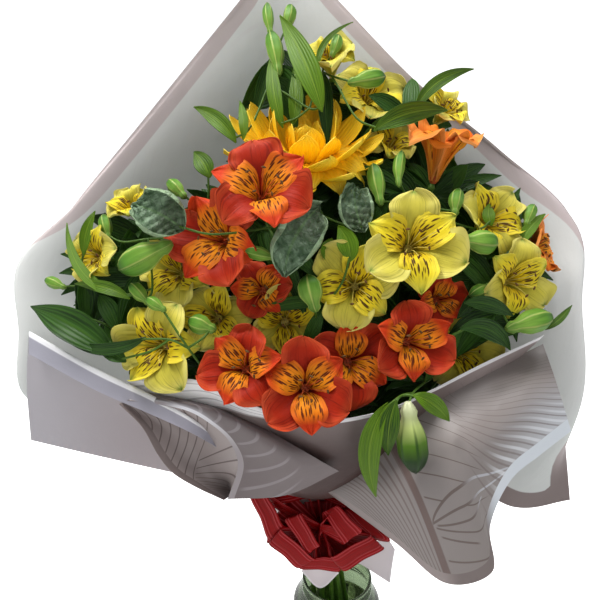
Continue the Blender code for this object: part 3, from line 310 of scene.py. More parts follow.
# The open loops in front: the hub of the outer edges and that of the inner ones, then each
# loop's outer and inner edge as seen (from, to) and its depth
BOW_HUB = ((322, 532), (320, 524))
BOW_PANELS = (
    (((258, 492), (302, 478)), ((274, 505), (308, 499)), 0.524),
    (((318, 480), (352, 500)), ((318, 497), (344, 508)), 0.524),
    (((358, 503), (390, 541)), ((342, 512), (366, 534)), 0.520),
    (((251, 496), (270, 541)), ((268, 495), (284, 526)), 0.518),
    (((384, 548), (344, 571)), ((370, 535), (331, 557)), 0.516),
    (((340, 571), (299, 568)), ((335, 557), (314, 557)), 0.522),
    (((298, 568), (269, 543)), ((315, 559), (281, 529)), 0.516),
    (((285, 520), (307, 553)), ((302, 514), (319, 545)), 0.508),
    (((323, 513), (343, 544)), ((338, 506), (362, 531)), 0.506),
)


def seen(u, v, depth):
    """The point that the eye sees at (u, v), depth metres ahead."""
    across = (u - MIDDLE) / FOCAL
    down = (v - MIDDLE) / FOCAL
    return EYE + depth * (AHEAD + across * RIGHT + down * DOWN)


def dome(u, v):
    """Depth of the flower dome's face at (u, v)."""
    rows = list(DOME)
    depth = rows[-1][1]
    for (v0, d0), (v1, d1) in zip(rows, rows[1:]):
        if v <= v1:
            share = max(0.0, (v - v0) / (v1 - v0))
            depth = d0 + share * (d1 - d0)
            break
    return depth + DOME_FALL * (u - DOME_MIDDLE) ** 2


def facing(right, up):
    """The unit vector that points this far right and up, and for the rest at the eye."""
    near = math.sqrt(max(0.0, 1.0 - right * right - up * up))
    return (right * RIGHT - up * DOWN - near * AHEAD).normalized()


def frame_on(direction, roll=0.0):
    """A rotation that takes +Z to the direction, with +X as level as it can be."""
    side = Vector((0, 0, 1)).cross(direction)
    side = side.normalized() if side.length > 1e-6 else RIGHT.copy()
    rise = direction.cross(side)
    turn = Matrix((side, rise, direction)).transposed().to_4x4()
    return turn @ Matrix.Rotation(roll, 4, "Z")


def quad(a, b, c, s):
    """A quadratic curve through a and c, pulled towards b."""
    return (1 - s) ** 2 * a + 2 * s * (1 - s) * b + s * s * c


def polar(radius, turn, height):
    """The point at a radius and a turn round the upright axis, at a height."""
    return Vector((radius * math.cos(turn), radius * math.sin(turn), height))


def catmull(points, t):
    """A smooth curve through the points, t running from 0 to the last index."""
    last = len(points) - 1
    i = min(int(t), last - 1)
    f = t - i
    p1, p2 = points[i], points[i + 1]
    p0 = points[i - 1] if i > 0 else 2 * p1 - p2
    p3 = points[i + 2] if i + 2 <= last else 2 * p2 - p1
    return 0.5 * ((2 * p1) + (p2 - p0) * f + (2 * p0 - 5 * p1 + 4 * p2 - p3) * f * f
                  + (3 * p1 - p0 - 3 * p2 + p3) * f ** 3)


def mesh_of(bm):
    """A mesh from a bmesh, which is freed."""
    mesh = bpy.data.meshes.new("piece")
    bm.to_mesh(mesh)
    bm.free()
    return mesh


def blade(point, long_steps, cross_steps, thickness):
    """A thin closed solid on the surface point(s, c), s from 0 to 1 and c from -1 to 1."""
    bm = bmesh.new()
    bmesh.ops.create_grid(bm, x_segments=cross_steps, y_segments=long_steps, size=1.0)
    for vert in bm.verts:
        vert.co = point((vert.co.y + 1.0) / 2.0, vert.co.x)
    # an end of no width closes to a point
    bmesh.ops.remove_doubles(bm, verts=bm.verts[:], dist=1e-6)
    bmesh.ops.triangulate(bm, faces=bm.faces[:], quad_method="FIXED")
    bm.normal_update()
    bmesh.ops.solidify(bm, geom=bm.faces[:], thickness=thickness)
    bmesh.ops.recalc_face_normals(bm, faces=bm.faces[:])
    return mesh_of(bm)


def cone_between(low, high, low_radius, high_radius, sides):
    """A closed cone or cylinder from one point to another."""
    bm = bmesh.new()
    along = high - low
    place = Matrix.Translation((low + high) / 2) @ frame_on(along.normalized())
    bmesh.ops.create_cone(bm, cap_ends=True, segments=sides, radius1=low_radius,
                          radius2=high_radius, depth=along.length, matrix=place)
    return mesh_of(bm)


def ball(centre, direction, length, width, sides, rings):
    """An egg-shaped solid along a direction."""
    bm = bmesh.new()
    size = Matrix.Diagonal((width / 2, width / 2, length / 2, 1.0))
    place = Matrix.Translation(centre) @ frame_on(direction) @ size
    bmesh.ops.create_uvsphere(bm, u_segments=sides, v_segments=rings, radius=1.0, matrix=place)
    return mesh_of(bm)


def tube(points, radius, resolution, shares=None):
    """A closed tube along the points: a bevelled curve made a mesh."""
    curve = bpy.data.curves.new("tube", "CURVE")
    curve.dimensions = "3D"
    curve.bevel_depth = radius
    curve.bevel_resolution = resolution
    curve.use_fill_caps = True
    spline = curve.splines.new("POLY")
    spline.points.add(len(points) - 1)
    for spot, place, share in zip(spline.points, points, shares or [1.0] * len(points)):
        spot.co = (*place, 1.0)
        spot.radius = share
    maker = bpy.data.objects.new("tube", curve)
    bpy.context.scene.collection.objects.link(maker)
    graph = bpy.context.evaluated_depsgraph_get()
    mesh = bpy.data.meshes.new_from_object(maker.evaluated_get(graph))
    bpy.data.objects.remove(maker)
    bm = bmesh.new()
    bm.from_mesh(mesh)
    bmesh.ops.remove_doubles(bm, verts=bm.verts[:], dist=1e-6)
    bmesh.ops.recalc_face_normals(bm, faces=bm.faces[:])
    return mesh_of(bm)


def tree_of(meshes):
    """A search tree over the faces of some meshes."""
    verts, faces = [], []
    for mesh in meshes:
        start = len(verts)
        verts.extend(vert.co.copy() for vert in mesh.vertices)
        faces.extend([start + i for i in face.vertices] for face in mesh.polygons)
    return BVHTree.FromPolygons(verts, faces)


def moved(mesh, matrix):
    copy = mesh.copy()
    copy.transform(matrix)
    return copy


class Standing:
    """What already stands, by the node it belongs to."""

    def __init__(self):
        self.trees = []

    def add(self, owner, meshes):
        self.trees.append((owner, tree_of(meshes)))

    def hits(self, meshes, owner=None):
        tree = tree_of(meshes)
        return sum(len(tree.overlap(other)) for name, other in self.trees if name != owner)

    def near(self, points, radius, owner=None):
        """How many of the points lie within the radius of something, or pass through it."""
        count = 0
        for name, other in self.trees:
            if name == owner:
                continue
            count += sum(other.find_nearest(p, radius)[0] is not None for p in points)
            for a, b in zip(points, points[1:]):
                way = b - a
                count += other.ray_cast(a, way.normalized(), way.length)[0] is not None
        return count


def petal_outline(s, pointed):
    """Share of a petal's width at s: narrow at the root, blunt or pointed at the tip."""
    if pointed:
        return math.sin(math.pi * s ** 1.20) ** 0.9 if 0.0 < s < 1.0 else 0.0
    return math.sin(math.pi * 0.85 * s ** 1.25) ** 0.9


def petal(size, opening, width, pointed, turn, steps):
    """One petal of a funnel-shaped bloom, its root in the core."""
    reach = size * (0.20 + 0.37 * opening)
    rise = size * (0.62 - 0.26 * opening)
    root, belly, notch, cup = (0.0015, 0.12, 0.0, 0.15) if pointed else (0.0030, 0.32, 0.05, 0.22)

    def point(s, c):
        half = width / 2 * petal_outline(s, pointed)
        r = quad(root, reach * belly, reach * (1 - notch * (1 - abs(c)) * s ** 4), s)
        z = quad(0.0, rise * 1.05, rise * 0.92, s) + cup * half * c * c
        return Matrix.Rotation(turn, 3, "Z") @ Vector((r, c * half, z))
    return blade(point, steps[0], steps[1], PETAL)


def bloom_pieces(size, opening, seed):
    """Core and six petals of an alstroemeria, facing +Z from the origin, no two alike."""
    draw = random.Random(seed)
    small = size < SMALL_BLOOM
    outer_steps = (2, 2) if small else (3, 2)
    core = cone_between(Vector((0, 0, CORE_LOW)), Vector((0, 0, CORE_HIGH)), 0.0026, 0.0046, 6)
    pieces = [core]
    for k in range(3):
        turn = math.radians(120 * k + draw.uniform(-6, 6))
        wide = size * 0.46 * draw.uniform(0.92, 1.06)
        spread = opening * draw.uniform(0.94, 1.02)
        pieces.append(petal(size, spread, wide, False, turn, outer_steps))
        turn += math.radians(60 + draw.uniform(-5, 5))
        spread = opening * draw.uniform(0.80, 0.88)
        if k == 0 or not small:
            pieces.append(petal(size * 0.94, spread, size * 0.24, True, turn, (2, 1)))
    return pieces


def bloom_place(row, back):
    """Where a bloom's core lies: behind its face centre, stepped back along the eye's line."""
    _, u, v, push, right, up, roll, size, opening = row
    direction = facing(right, up)
    depth = dome(u, v) + push + back
    core = seen(u, v, depth) - direction * size * (0.62 - 0.26 * opening) * 0.6
    return Matrix.Translation(core) @ frame_on(direction, math.radians(roll))


def settle(place, pieces, standing):
    """Step a piece back along the line of sight until it is clear of what stands."""
    best = None
    for step in range(STEPS):
        matrix = place(step * STEP_BACK)
        there = [moved(mesh, matrix) for mesh in pieces]
        count = standing.hits(there)
        if best is None or count < best[0]:
            best = (count, matrix, there)
        if count == 0:
            break
    return best[1:]


def route(start, start_way, end, end_way, standing, owner):
    """The first bend from start to end that is clear of what stands, in a few straight runs."""
    span = (end - start).length
    runs = 2 if span < 0.045 else 3 if span < 0.09 else 4
    chord = (end - start).normalized()
    side = chord.cross(Vector((0, 0, 1))).normalized()
    other = chord.cross(side)
    best = None
    for bulge in (0.0, 0.06, 0.12, 0.18, 0.25, 0.32, 0.4, 0.5, 0.6):
        for spoke in range(1 if bulge == 0.0 else 12):
            angle = math.tau * spoke / 12
            push = span * bulge * (math.cos(angle) * side + math.sin(angle) * other)
            p1 = start + start_way * min(0.02, span * 0.3) + push
            p2 = end + end_way * min(0.02, span * 0.3) + push
            points = bezier(start, p1, p2, end, runs)
            samples = [a.lerp(b, k / 10) for a, b in zip(points, points[1:]) for k in range(10)]
            count = standing.near(samples[1:-1], PEDICEL_RADIUS * 1.15 + GAP, owner)
            if best is None or count < best[0]:
                best = (count, points)
            if count == 0:
                return best
    return best


def bezier(a, b, c, d, steps):
    points = []
    for k in range(steps + 1):
        t = k / steps
        points.append((1 - t) ** 3 * a + 3 * t * (1 - t) ** 2 * b + 3 * t * t * (1 - t) * c + t ** 3 * d)
    return points


def stem_path(name_spot, umbel):
    """A stem's points from the jar's floor through the neck to its umbel."""
    x, y = name_spot
    foot = Vector((x * STEM_SPREAD, y * STEM_SPREAD, JAR_FLOOR + GAP))
    low = NECK + Vector((x, y, NECK_LOW))
    high = NECK + Vector((x, y, NECK_HIGH))
    rise = umbel - high
    bend = high + Vector((rise.x * 0.16, rise.y * 0.16, rise.z * 0.28))
    upper = [quad(high, bend, umbel, k / 4) for k in range(1, 5)]
    return [foot, low, high] + upper


def fan_point(columns):
    """The surface of a wrapper sheet: columns rise from the neck and open out."""
    curves = []
    for angle, radius, level, *outward in columns:
        a = math.radians(angle)
        way = Vector((math.cos(a), math.sin(a), 0.0))
        ring = NECK + way * NECK_RADIUS
        rise = [ring + Vector((0, 0, NECK_LOW)), ring + Vector((0, 0, NECK_HIGH - 0.001)),
                NECK + way * radius + Vector((0, 0, level))]
        curves.append(rise + [seen(*spot) for spot in outward])

    def point(s, c):
        across = (c + 1) / 2 * (len(columns) - 1)
        up = s * (len(curves[0]) - 1)
        return catmull([catmull(curve, up) for curve in curves], across)
    return point


def row_point(rows):
    """The surface through rows of seen points."""
    lines = [[seen(*spot) for spot in row] for row in rows]

    def point(s, c):
        along = s * (len(lines[0]) - 1)
        across = (c + 1) / 2 * (len(lines) - 1)
        return catmull([catmull(line, along) for line in lines], across)
    return point


def bud_pieces(row, back):
    """A closed bud from its foot to its tip, with the foot's place and way."""
    _, u0, v0, u1, v1, width, push = row
    foot = seen(u0, v0, dome(u0, v0) + push + back)
    tip = seen(u1, v1, dome(u1, v1) + push + back)
    way = (tip - foot).normalized()
    middle = foot + (tip - foot) * 0.48
    return [ball(middle, way, (tip - foot).length * 1.04, width, 6, 4)], foot, way


def leaf_curve(row, back):
    """The middle line of a leaf, bowed sideways in the picture and a little at the eye."""
    _, u0, v0, u1, v1, bow, _, push0, push1 = row[:9]
    um = (u0 + u1) / 2 - bow * (v1 - v0)
    vm = (v0 + v1) / 2 + bow * (u1 - u0)
    a = seen(u0, v0, dome(u0, v0) + push0 + back)
    c = seen(u1, v1, dome(u1, v1) + push1 + back)
    bulge = 0.10 * (c - a).length
    b = seen(um, vm, dome(um, vm) + (push0 + push1) / 2 - bulge + back)
    return a, 2 * b - (a + c) / 2, c


def leaf_frame(a, b, c, s):
    """A point on a leaf's middle line, the way across the blade there and the way off it."""
    middle = quad(a, b, c, s)
    ahead = (quad(a, b, c, min(1.0, s + 0.02)) - quad(a, b, c, max(0.0, s - 0.02))).normalized()
    look = (EYE - middle).normalized()
    side = ahead.cross(look).normalized()
    return middle, side, side.cross(ahead)


def leaf_pieces(row, back, steps=(3, 2), ruffle=0.0):
    """A lance leaf with a folded middle, its foot's place and its way."""
    a, b, c = leaf_curve(row, back)
    width = row[6]
    # a leaf without a middle row stays flat, so that its stalk meets it
    fold = 0.30 if steps[1] > 1 else 0.0

    def point(s, cross):
        middle, side, lift = leaf_frame(a, b, c, s)
        half = width / 2 * (math.sin(math.pi * s) ** 0.8 if 0.0 < s < 1.0 else 0.0)
        wave = ruffle * math.sin(s * 17.0 + 1.5 * cross) * abs(cross) ** 2
        return middle + side * cross * half + lift * (fold * abs(cross) * half + wave)
    way = (quad(a, b, c, 1 / steps[0]) - a).normalized()
    return [blade(point, steps[0], steps[1], LEAF)], a, way


def sun_ray(place, turn, lift, length, width, root):
    def point(s, c):
        r = root + length * s * math.cos(lift + 0.35 * s)
        z = length * s * math.sin(lift + 0.35 * s) + 0.12 * width * c * c
        half = width / 2 * math.sin(math.pi * 0.88 * s ** 1.30) ** 0.8
        return Vector((r, c * half, z))
    mesh = blade(point, 3, 2, 0.0009)
    mesh.transform(place @ Matrix.Rotation(turn, 4, "Z"))
    return mesh


def sunflower_meshes():
    """Two rings of rays on a round base."""
    u, v, depth = SUN_SPOT
    right, up = SUN_FACING
    place = Matrix.Translation(seen(u, v, depth)) @ frame_on(facing(right, up))
    at = place @ Vector((0, 0, 0))
    way = facing(right, up)
    rays = [cone_between(at - way * SUN_BACK, at + way * 0.001, SUN_DISC * 0.8, SUN_DISC * 1.12, 12)]
    draw = random.Random(3)
    for ring, (lift, length, offset) in enumerate(SUN_RINGS):
        for k in range(SUN_RAYS):
            turn = math.tau * (k + offset + draw.uniform(-0.1, 0.1)) / SUN_RAYS
            rays.append(sun_ray(place @ Matrix.Translation((0, 0, -0.003 + 0.002 * ring)), turn,
                                lift + draw.uniform(-0.03, 0.03) + 0.12 * (k % 2),
                                SUN_RAY_LENGTH * length * draw.uniform(0.92, 1.05),
                                SUN_RAY_WIDTH, SUN_DISC * 0.80))
    return rays, at, way


def srgb(red, green, blue):
    """A colour as it looks on a screen, made linear."""
    return tuple(x / 12.92 if x <= 0.04045 else ((x + 0.055) / 1.055) ** 2.4
                 for x in (red, green, blue)) + (1.0,)


# Looks


class Look:
    """A material made of nodes, with a short call for each node it needs."""

    def __init__(self, name, **sockets):
        self.material = bpy.data.materials.new(name)
        self.material.use_nodes = True
        self.tree = self.material.node_tree
        self.shader = self.tree.nodes["Principled BSDF"]
        for socket, value in sockets.items():
            self.shader.inputs[socket.replace("_", " ")].default_value = value

    def put(self, socket, value):
        if isinstance(value, bpy.types.NodeSocket):
            self.tree.links.new(value, socket)
        else:
            socket.default_value = value

    def wear(self, **sockets):
        for socket, value in sockets.items():
            self.put(self.shader.inputs[socket.replace("_", " ")], value)
        return self.material

    def math(self, operation, a, b=0.0):
        node = self.tree.nodes.new("ShaderNodeMath")
        node.operation = operation
        self.put(node.inputs[0], a)
        self.put(node.inputs[1], b)
        return node.outputs[0]

    def times(self, *values):
        product = values[0]
        for value in values[1:]:
            product = self.math("MULTIPLY", product, value)
        return product

    def plus(self, a, b):
        return self.math("ADD", a, b)

    def less(self, a, b):
        return self.math("SUBTRACT", a, b)

    def ratio(self, a, b):
        return self.math("DIVIDE", a, b)

    def unsigned(self, value):
        return self.math("ABSOLUTE", value)

    def painted(self, name):
        """The three numbers of a point attribute."""
        node = self.tree.nodes.new("ShaderNodeAttribute")
        node.attribute_name = name
        split = self.tree.nodes.new("ShaderNodeSeparateXYZ")
        self.tree.links.new(node.outputs["Vector"], split.inputs[0])
        return split.outputs[0], split.outputs[1], split.outputs[2]

    def vector(self, x, y, z=0.0):
        node = self.tree.nodes.new("ShaderNodeCombineXYZ")
        for socket, value in zip(node.inputs, (x, y, z)):
            self.put(socket, value)
        return node.outputs[0]

    def place(self):
        return self.tree.nodes.new("ShaderNodeTexCoord").outputs["Object"]

    def noise(self, where, scale, detail=2.0, rough=0.5):
        node = self.tree.nodes.new("ShaderNodeTexNoise")
        self.put(node.inputs["Vector"], where)
        node.inputs["Scale"].default_value = scale
        node.inputs["Detail"].default_value = detail
        node.inputs["Roughness"].default_value = rough
        return node.outputs[0]

    def cells(self, where, scale, feature="F1", output="Distance"):
        node = self.tree.nodes.new("ShaderNodeTexVoronoi")
        node.feature = feature
        self.put(node.inputs["Vector"], where)
        node.inputs["Scale"].default_value = scale
        return node.outputs[output]

    def step(self, value, low, high):
        """0 below low, 1 above high and smooth between; falls where high is the lower."""
        node = self.tree.nodes.new("ShaderNodeMapRange")
        node.interpolation_type = "SMOOTHSTEP"
        self.put(node.inputs["Value"], value)
        node.inputs["From Min"].default_value = min(low, high)
        node.inputs["From Max"].default_value = max(low, high)
        node.inputs["To Min"].default_value = 0.0 if low < high else 1.0
        node.inputs["To Max"].default_value = 1.0 if low < high else 0.0
        return node.outputs["Result"]

    def ramp(self, share, *stops):
        node = self.tree.nodes.new("ShaderNodeValToRGB")
        self.put(node.inputs[0], share)
        bar = node.color_ramp.elements
        while len(bar) < len(stops):
            bar.new(0.5)
        for element, (where, colour) in zip(bar, stops):
            element.position = where
            element.color = colour
        return node.outputs[0]

    def mix(self, share, a, b):
        node = self.tree.nodes.new("ShaderNodeMix")
        node.data_type = "RGBA"
        self.put(node.inputs[0], share)
        self.put(node.inputs[6], a)
        self.put(node.inputs[7], b)
        return node.outputs[2]

    def bump(self, height, strength, distance):
        node = self.tree.nodes.new("ShaderNodeBump")
        node.inputs["Strength"].default_value = strength
        node.inputs["Distance"].default_value = distance
        self.put(node.inputs["Height"], height)
        return node.outputs[0]


def petal_look(name, stops, edge, edge_share, dash, dash_share, tip=None, reach=0.70, vein=0.5):
    """A petal: a ramp along it, a paler edge, fine veins, dark dashes and a green tip."""
    look = Look(name, Specular_IOR_Level=0.14, Sheen_Weight=0.02)
    s, c, tone = look.painted("grain")
    along, _, _ = look.painted("place")
    side = look.unsigned(c)
    colour = look.ramp(s, *stops)
    deep = look.ramp(s, *[(w, tuple(x * 0.50 for x in k[:3]) + (1.0,)) for w, k in stops])
    blotch = look.noise(look.vector(look.times(c, 1.3), look.times(s, 1.8), look.times(tone, 40.0)), 1.0, 3.0)
    rim = look.plus(side, look.times(look.less(blotch, 0.5), 0.9))
    colour = look.mix(look.times(look.step(rim, 0.45, 1.0), edge_share), colour, edge)
    colour = look.mix(look.times(look.step(blotch, 0.60, 0.30), 0.30), colour, deep)
    # fine lengthwise veins that part from the root
    fibre = look.noise(look.vector(look.times(c, 15.0), look.times(s, 1.1), look.times(tone, 60.0)), 1.0,
                       3.0, 0.65)
    colour = look.mix(look.times(look.step(fibre, 0.52, 0.66), vein), colour, deep)
    if dash_share:
        lanes = look.plus(look.times(c, 8.2), look.times(tone, 13.0))
        where = look.vector(lanes, look.times(along, 105.0), tone)
        mark = look.step(look.cells(where, 1.0), 0.47, 0.34)
        zone = look.times(look.step(s, 0.08, 0.16), look.step(s, reach + 0.08, reach - 0.10),
                          look.step(side, 0.90, 0.66))
        colour = look.mix(look.times(mark, zone, dash_share), colour, dash)
    if tip:
        point = look.times(look.step(s, 0.80, 1.0), look.step(side, 0.60, 0.10))
        colour = look.mix(point, colour, tip)
    height = look.plus(fibre, look.times(blotch, 1.4))
    rough = look.plus(look.times(fibre, 0.25), 0.42)
    return look.wear(Base_Color=colour, Normal=look.bump(height, 0.55, 0.0010), Roughness=rough)


def plain_look(name, colour, other, roughness, scale=300.0):
    look = Look(name, Roughness=roughness, Specular_IOR_Level=0.25)
    grain = look.noise(look.place(), scale, 3.0, 0.6)
    mixed = look.mix(look.step(grain, 0.3, 0.7), colour, other)
    return look.wear(Base_Color=mixed, Normal=look.bump(grain, 0.3, 0.0003))


def leaf_look(name, colour, dark, pale, ribs):
    """A leaf with a pale midrib, lengthwise veins and a satin face."""
    look = Look(name, Roughness=0.42, Specular_IOR_Level=0.18)
    s, c, tone = look.painted("grain")
    side = look.unsigned(c)
    rows = look.math("SINE", look.times(c, ribs))
    fibre = look.noise(look.vector(look.times(c, 9.0), look.times(s, 2.5), tone), 1.0, 3.0, 0.6)
    base = look.mix(look.step(look.plus(fibre, look.times(tone, 0.35)), 0.35, 0.85), dark, colour)
    base = look.mix(look.times(look.step(rows, 0.2, 1.0), 0.22), base, pale)
    base = look.mix(look.times(look.step(side, 0.10, 0.02), 0.55), base, pale)
    height = look.plus(look.times(rows, 0.5), fibre)
    return look.wear(Base_Color=base, Normal=look.bump(height, 0.45, 0.0005))


def wavy_look():
    """The broad dark leaf: a crinkled net of veins and pale rolled edges."""
    look = Look("wavy_leaf", Roughness=0.5, Specular_IOR_Level=0.35)
    s, c, tone = look.painted("grain")
    along, across, _ = look.painted("place")
    side = look.unsigned(c)
    where = look.vector(across, along, tone)
    net = look.cells(where, 170.0, "DISTANCE_TO_EDGE")
    veins = look.step(net, 0.14, 0.01)
    barbs = look.unsigned(look.math("SINE", look.plus(look.times(s, 22.0), look.times(side, -7.0))))
    barb = look.step(barbs, 0.14, 0.02)
    blotch = look.noise(where, 70.0, 4.0, 0.6)
    base = look.mix(look.step(blotch, 0.35, 0.70), srgb(0.24, 0.35, 0.23), srgb(0.56, 0.66, 0.54))
    base = look.mix(look.times(look.step(s, 0.60, 0.38), 0.60), base, srgb(0.17, 0.18, 0.07))
    base = look.mix(look.times(veins, 0.25), base, srgb(0.36, 0.50, 0.32))
    base = look.mix(look.times(barb, 0.40), base, srgb(0.44, 0.56, 0.38))
    base = look.mix(look.times(look.step(side, 0.07, 0.02), 0.5), base, srgb(0.42, 0.56, 0.34))
    rim = look.plus(side, look.times(look.less(blotch, 0.5), 0.5))
    base = look.mix(look.times(look.step(rim, 0.66, 0.92), 0.85), base, srgb(0.60, 0.70, 0.55))
    height = look.plus(look.less(look.times(net, 0.8), look.times(barb, 0.4)), look.times(blotch, 2.0))
    return look.wear(Base_Color=base, Normal=look.bump(height, 0.9, 0.0022))


def bud_look():
    look = Look("bud", Roughness=0.42, Specular_IOR_Level=0.2)
    s, c, tone = look.painted("grain")
    ribs = look.unsigned(look.math("SINE", look.times(c, 9.42)))
    fibre = look.noise(look.vector(look.times(c, 12.0), look.times(s, 2.0), tone), 1.0, 3.0)
    base = look.ramp(s, (0.0, srgb(0.40, 0.55, 0.22)), (0.35, srgb(0.50, 0.66, 0.26)),
                     (0.75, srgb(0.36, 0.56, 0.18)), (1.0, srgb(0.13, 0.26, 0.08)))
    base = look.mix(look.times(look.step(ribs, 0.4, 0.05), 0.6), base, srgb(0.78, 0.80, 0.45))
    base = look.mix(look.times(look.step(fibre, 0.4, 0.7), 0.4), base, srgb(0.20, 0.36, 0.10))
    return look.wear(Base_Color=base, Normal=look.bump(ribs, 0.25, 0.0006))


def pale_bud_look():
    """The big hanging bud: cream at its foot, dark green ribs to its tip."""
    look = Look("pale_bud", Roughness=0.40, Specular_IOR_Level=0.2)
    s, c, _ = look.painted("grain")
    ribs = look.unsigned(look.math("SINE", look.times(c, 9.42)))
    base = look.ramp(s, (0.0, srgb(0.84, 0.86, 0.70)), (0.30, srgb(0.74, 0.80, 0.48)),
                     (0.52, srgb(0.32, 0.47, 0.09)), (0.74, srgb(0.11, 0.23, 0.04)),
                     (1.0, srgb(0.05, 0.11, 0.03)))
    lines = look.times(look.step(ribs, 0.45, 0.1), look.step(s, 0.15, 0.5))
    base = look.mix(look.times(lines, 0.8), base, srgb(0.13, 0.26, 0.06))
    return look.wear(Base_Color=base, Normal=look.bump(ribs, 0.25, 0.0006))


def sun_look():
    look = Look("sun_petal", Roughness=0.5, Specular_IOR_Level=0.3)
    s, c, tone = look.painted("grain")
    fibre = look.noise(look.vector(look.times(c, 10.0), look.times(s, 1.2), look.times(tone, 50.0)), 1.0,
                       3.0, 0.6)
    base = look.ramp(s, (0.0, srgb(0.99, 0.62, 0.03)), (0.18, srgb(1.0, 0.80, 0.08)),
                     (0.75, srgb(1.0, 0.84, 0.14)), (1.0, srgb(1.0, 0.88, 0.26)))
    base = look.mix(look.times(look.step(fibre, 0.50, 0.68), 0.30), base, srgb(1.0, 0.74, 0.06))
    rows = look.math("SINE", look.times(c, 22.0))
    base = look.mix(look.times(look.step(rows, 0.5, 1.0), 0.10), base, srgb(0.98, 0.60, 0.03))
    height = look.plus(look.times(rows, 0.6), fibre)
    return look.wear(Base_Color=base, Normal=look.bump(height, 0.5, 0.0009))


def film_look(name, base, shade, stripe, lines, width):
    """Frosted film with a plain border stripe and printed leaf lines."""
    look = Look(name, Roughness=0.38, Specular_IOR_Level=0.3)
    s, c, _ = look.painted("grain")
    across, along, edge = look.painted("place")
    cloud = look.noise(look.place(), 4.0, 1.0)
    colour = look.mix(look.step(cloud, 0.25, 0.80), base, shade)
    pattern = lines(look, s, c, across, along)
    inner = look.step(edge, width * 0.95, width * 1.05)
    for value, tint, share in pattern:
        colour = look.mix(look.times(value, inner, share), colour, tint)
    stripe = border(look, name, s, c, stripe)
    colour = look.mix(look.times(look.step(edge, width * 1.04, width * 0.96), 0.85), colour, stripe)
    wrinkle = look.noise(look.vector(across, along, 0.0), 55.0, 3.0)
    return look.wear(Base_Color=colour, Normal=look.bump(wrinkle, 0.30, 0.0020))


def stripes(look, value, width):
    """Thin lines where value passes a whole number."""
    part = look.unsigned(look.less(look.math("FRACT", value), 0.5))
    return look.step(part, width * 1.35, width * 0.65)


def line_at(look, value, middle, width):
    """A thin line where value is close to middle."""
    return look.step(look.unsigned(look.less(value, middle)), width * 1.15, width * 0.75)


def border(look, name, s, c, stripe):
    """The back sheet's border darkens at its lower right and the wing's is paler on its lower lobe; the
    wing's is near-white at its upper end and the cone's near the upper mouth, both painted highlights.
    """
    if name == "film_back":
        return look.mix(look.step(c, 0.90, 0.97), stripe, srgb(0.50, 0.42, 0.41))
    if name == "film_wing":
        # near-white upper end of the wing's border: painted highlight
        stripe = look.mix(look.step(s, 0.52, 0.66), stripe, srgb(0.90, 0.93, 0.96))
        return look.mix(look.step(s, 0.34, 0.27), stripe, srgb(0.62, 0.57, 0.56))
    if name == "film_cone":
        # near-white border by the cone's upper mouth: painted highlight
        return look.mix(look.times(look.step(s, 0.72, 0.20), look.step(s, 0.10, 0.20)), stripe,
                        srgb(0.97, 0.97, 0.99))
    return stripe


def back_lines(look, s, c, across, along):
    bend = look.plus(look.times(along, 26.0), look.times(across, across, 110.0))
    faint = stripes(look, bend, 0.05)
    return [(look.times(faint, look.step(look.noise(look.vector(across, along), 7.0), 0.5, 0.65)),
             srgb(0.86, 0.84, 0.84), 0.35)]


def front_lines(look, s, c, across, along):
    """White under the rim on the left with fine grey lines, painted light where the rolled rim is lit; brown
    where the stems and their shadow show through, painted shade; a pale line along the rim, a painted
    highlight.
    """
    below = look.less(1.0, s)
    limit = look.math("MAXIMUM", look.times(look.plus(c, 0.10), -0.30), 0.008)
    # the white under the rim on the left: painted light
    left = look.step(look.less(below, limit), 0.012, -0.012)
    fan = look.times(look.ratio(below, limit), 3.6)
    grey = look.times(stripes(look, fan, 0.10), left, look.step(c, -0.20, -0.35))
    ribs = look.plus(look.times(c, 13.0), look.times(s, s, 6.0))
    taupe = look.times(stripes(look, ribs, 0.05), look.step(c, 0.40, 0.55), look.step(s, 0.95, 0.85))
    # brown: painted shade where the stems and their shadow show through the film
    brown = look.times(look.step(c, -0.52, -0.28), look.step(c, 0.78, 0.48), look.step(s, 0.30, 0.48))
    # a pale line along the top of the rim: painted highlight
    rim = look.step(s, 0.972, 0.978)
    return [(look.times(brown, look.plus(look.times(look.step(s, 0.98, 0.72), 0.45), 0.55)),
             srgb(0.20, 0.09, 0.07), 0.92), (left, srgb(1.0, 1.0, 1.0), 1.0),
            (grey, srgb(0.62, 0.60, 0.62), 0.55), (taupe, srgb(0.42, 0.37, 0.36), 0.35),
            (rim, srgb(0.96, 0.95, 0.96), 0.9)]


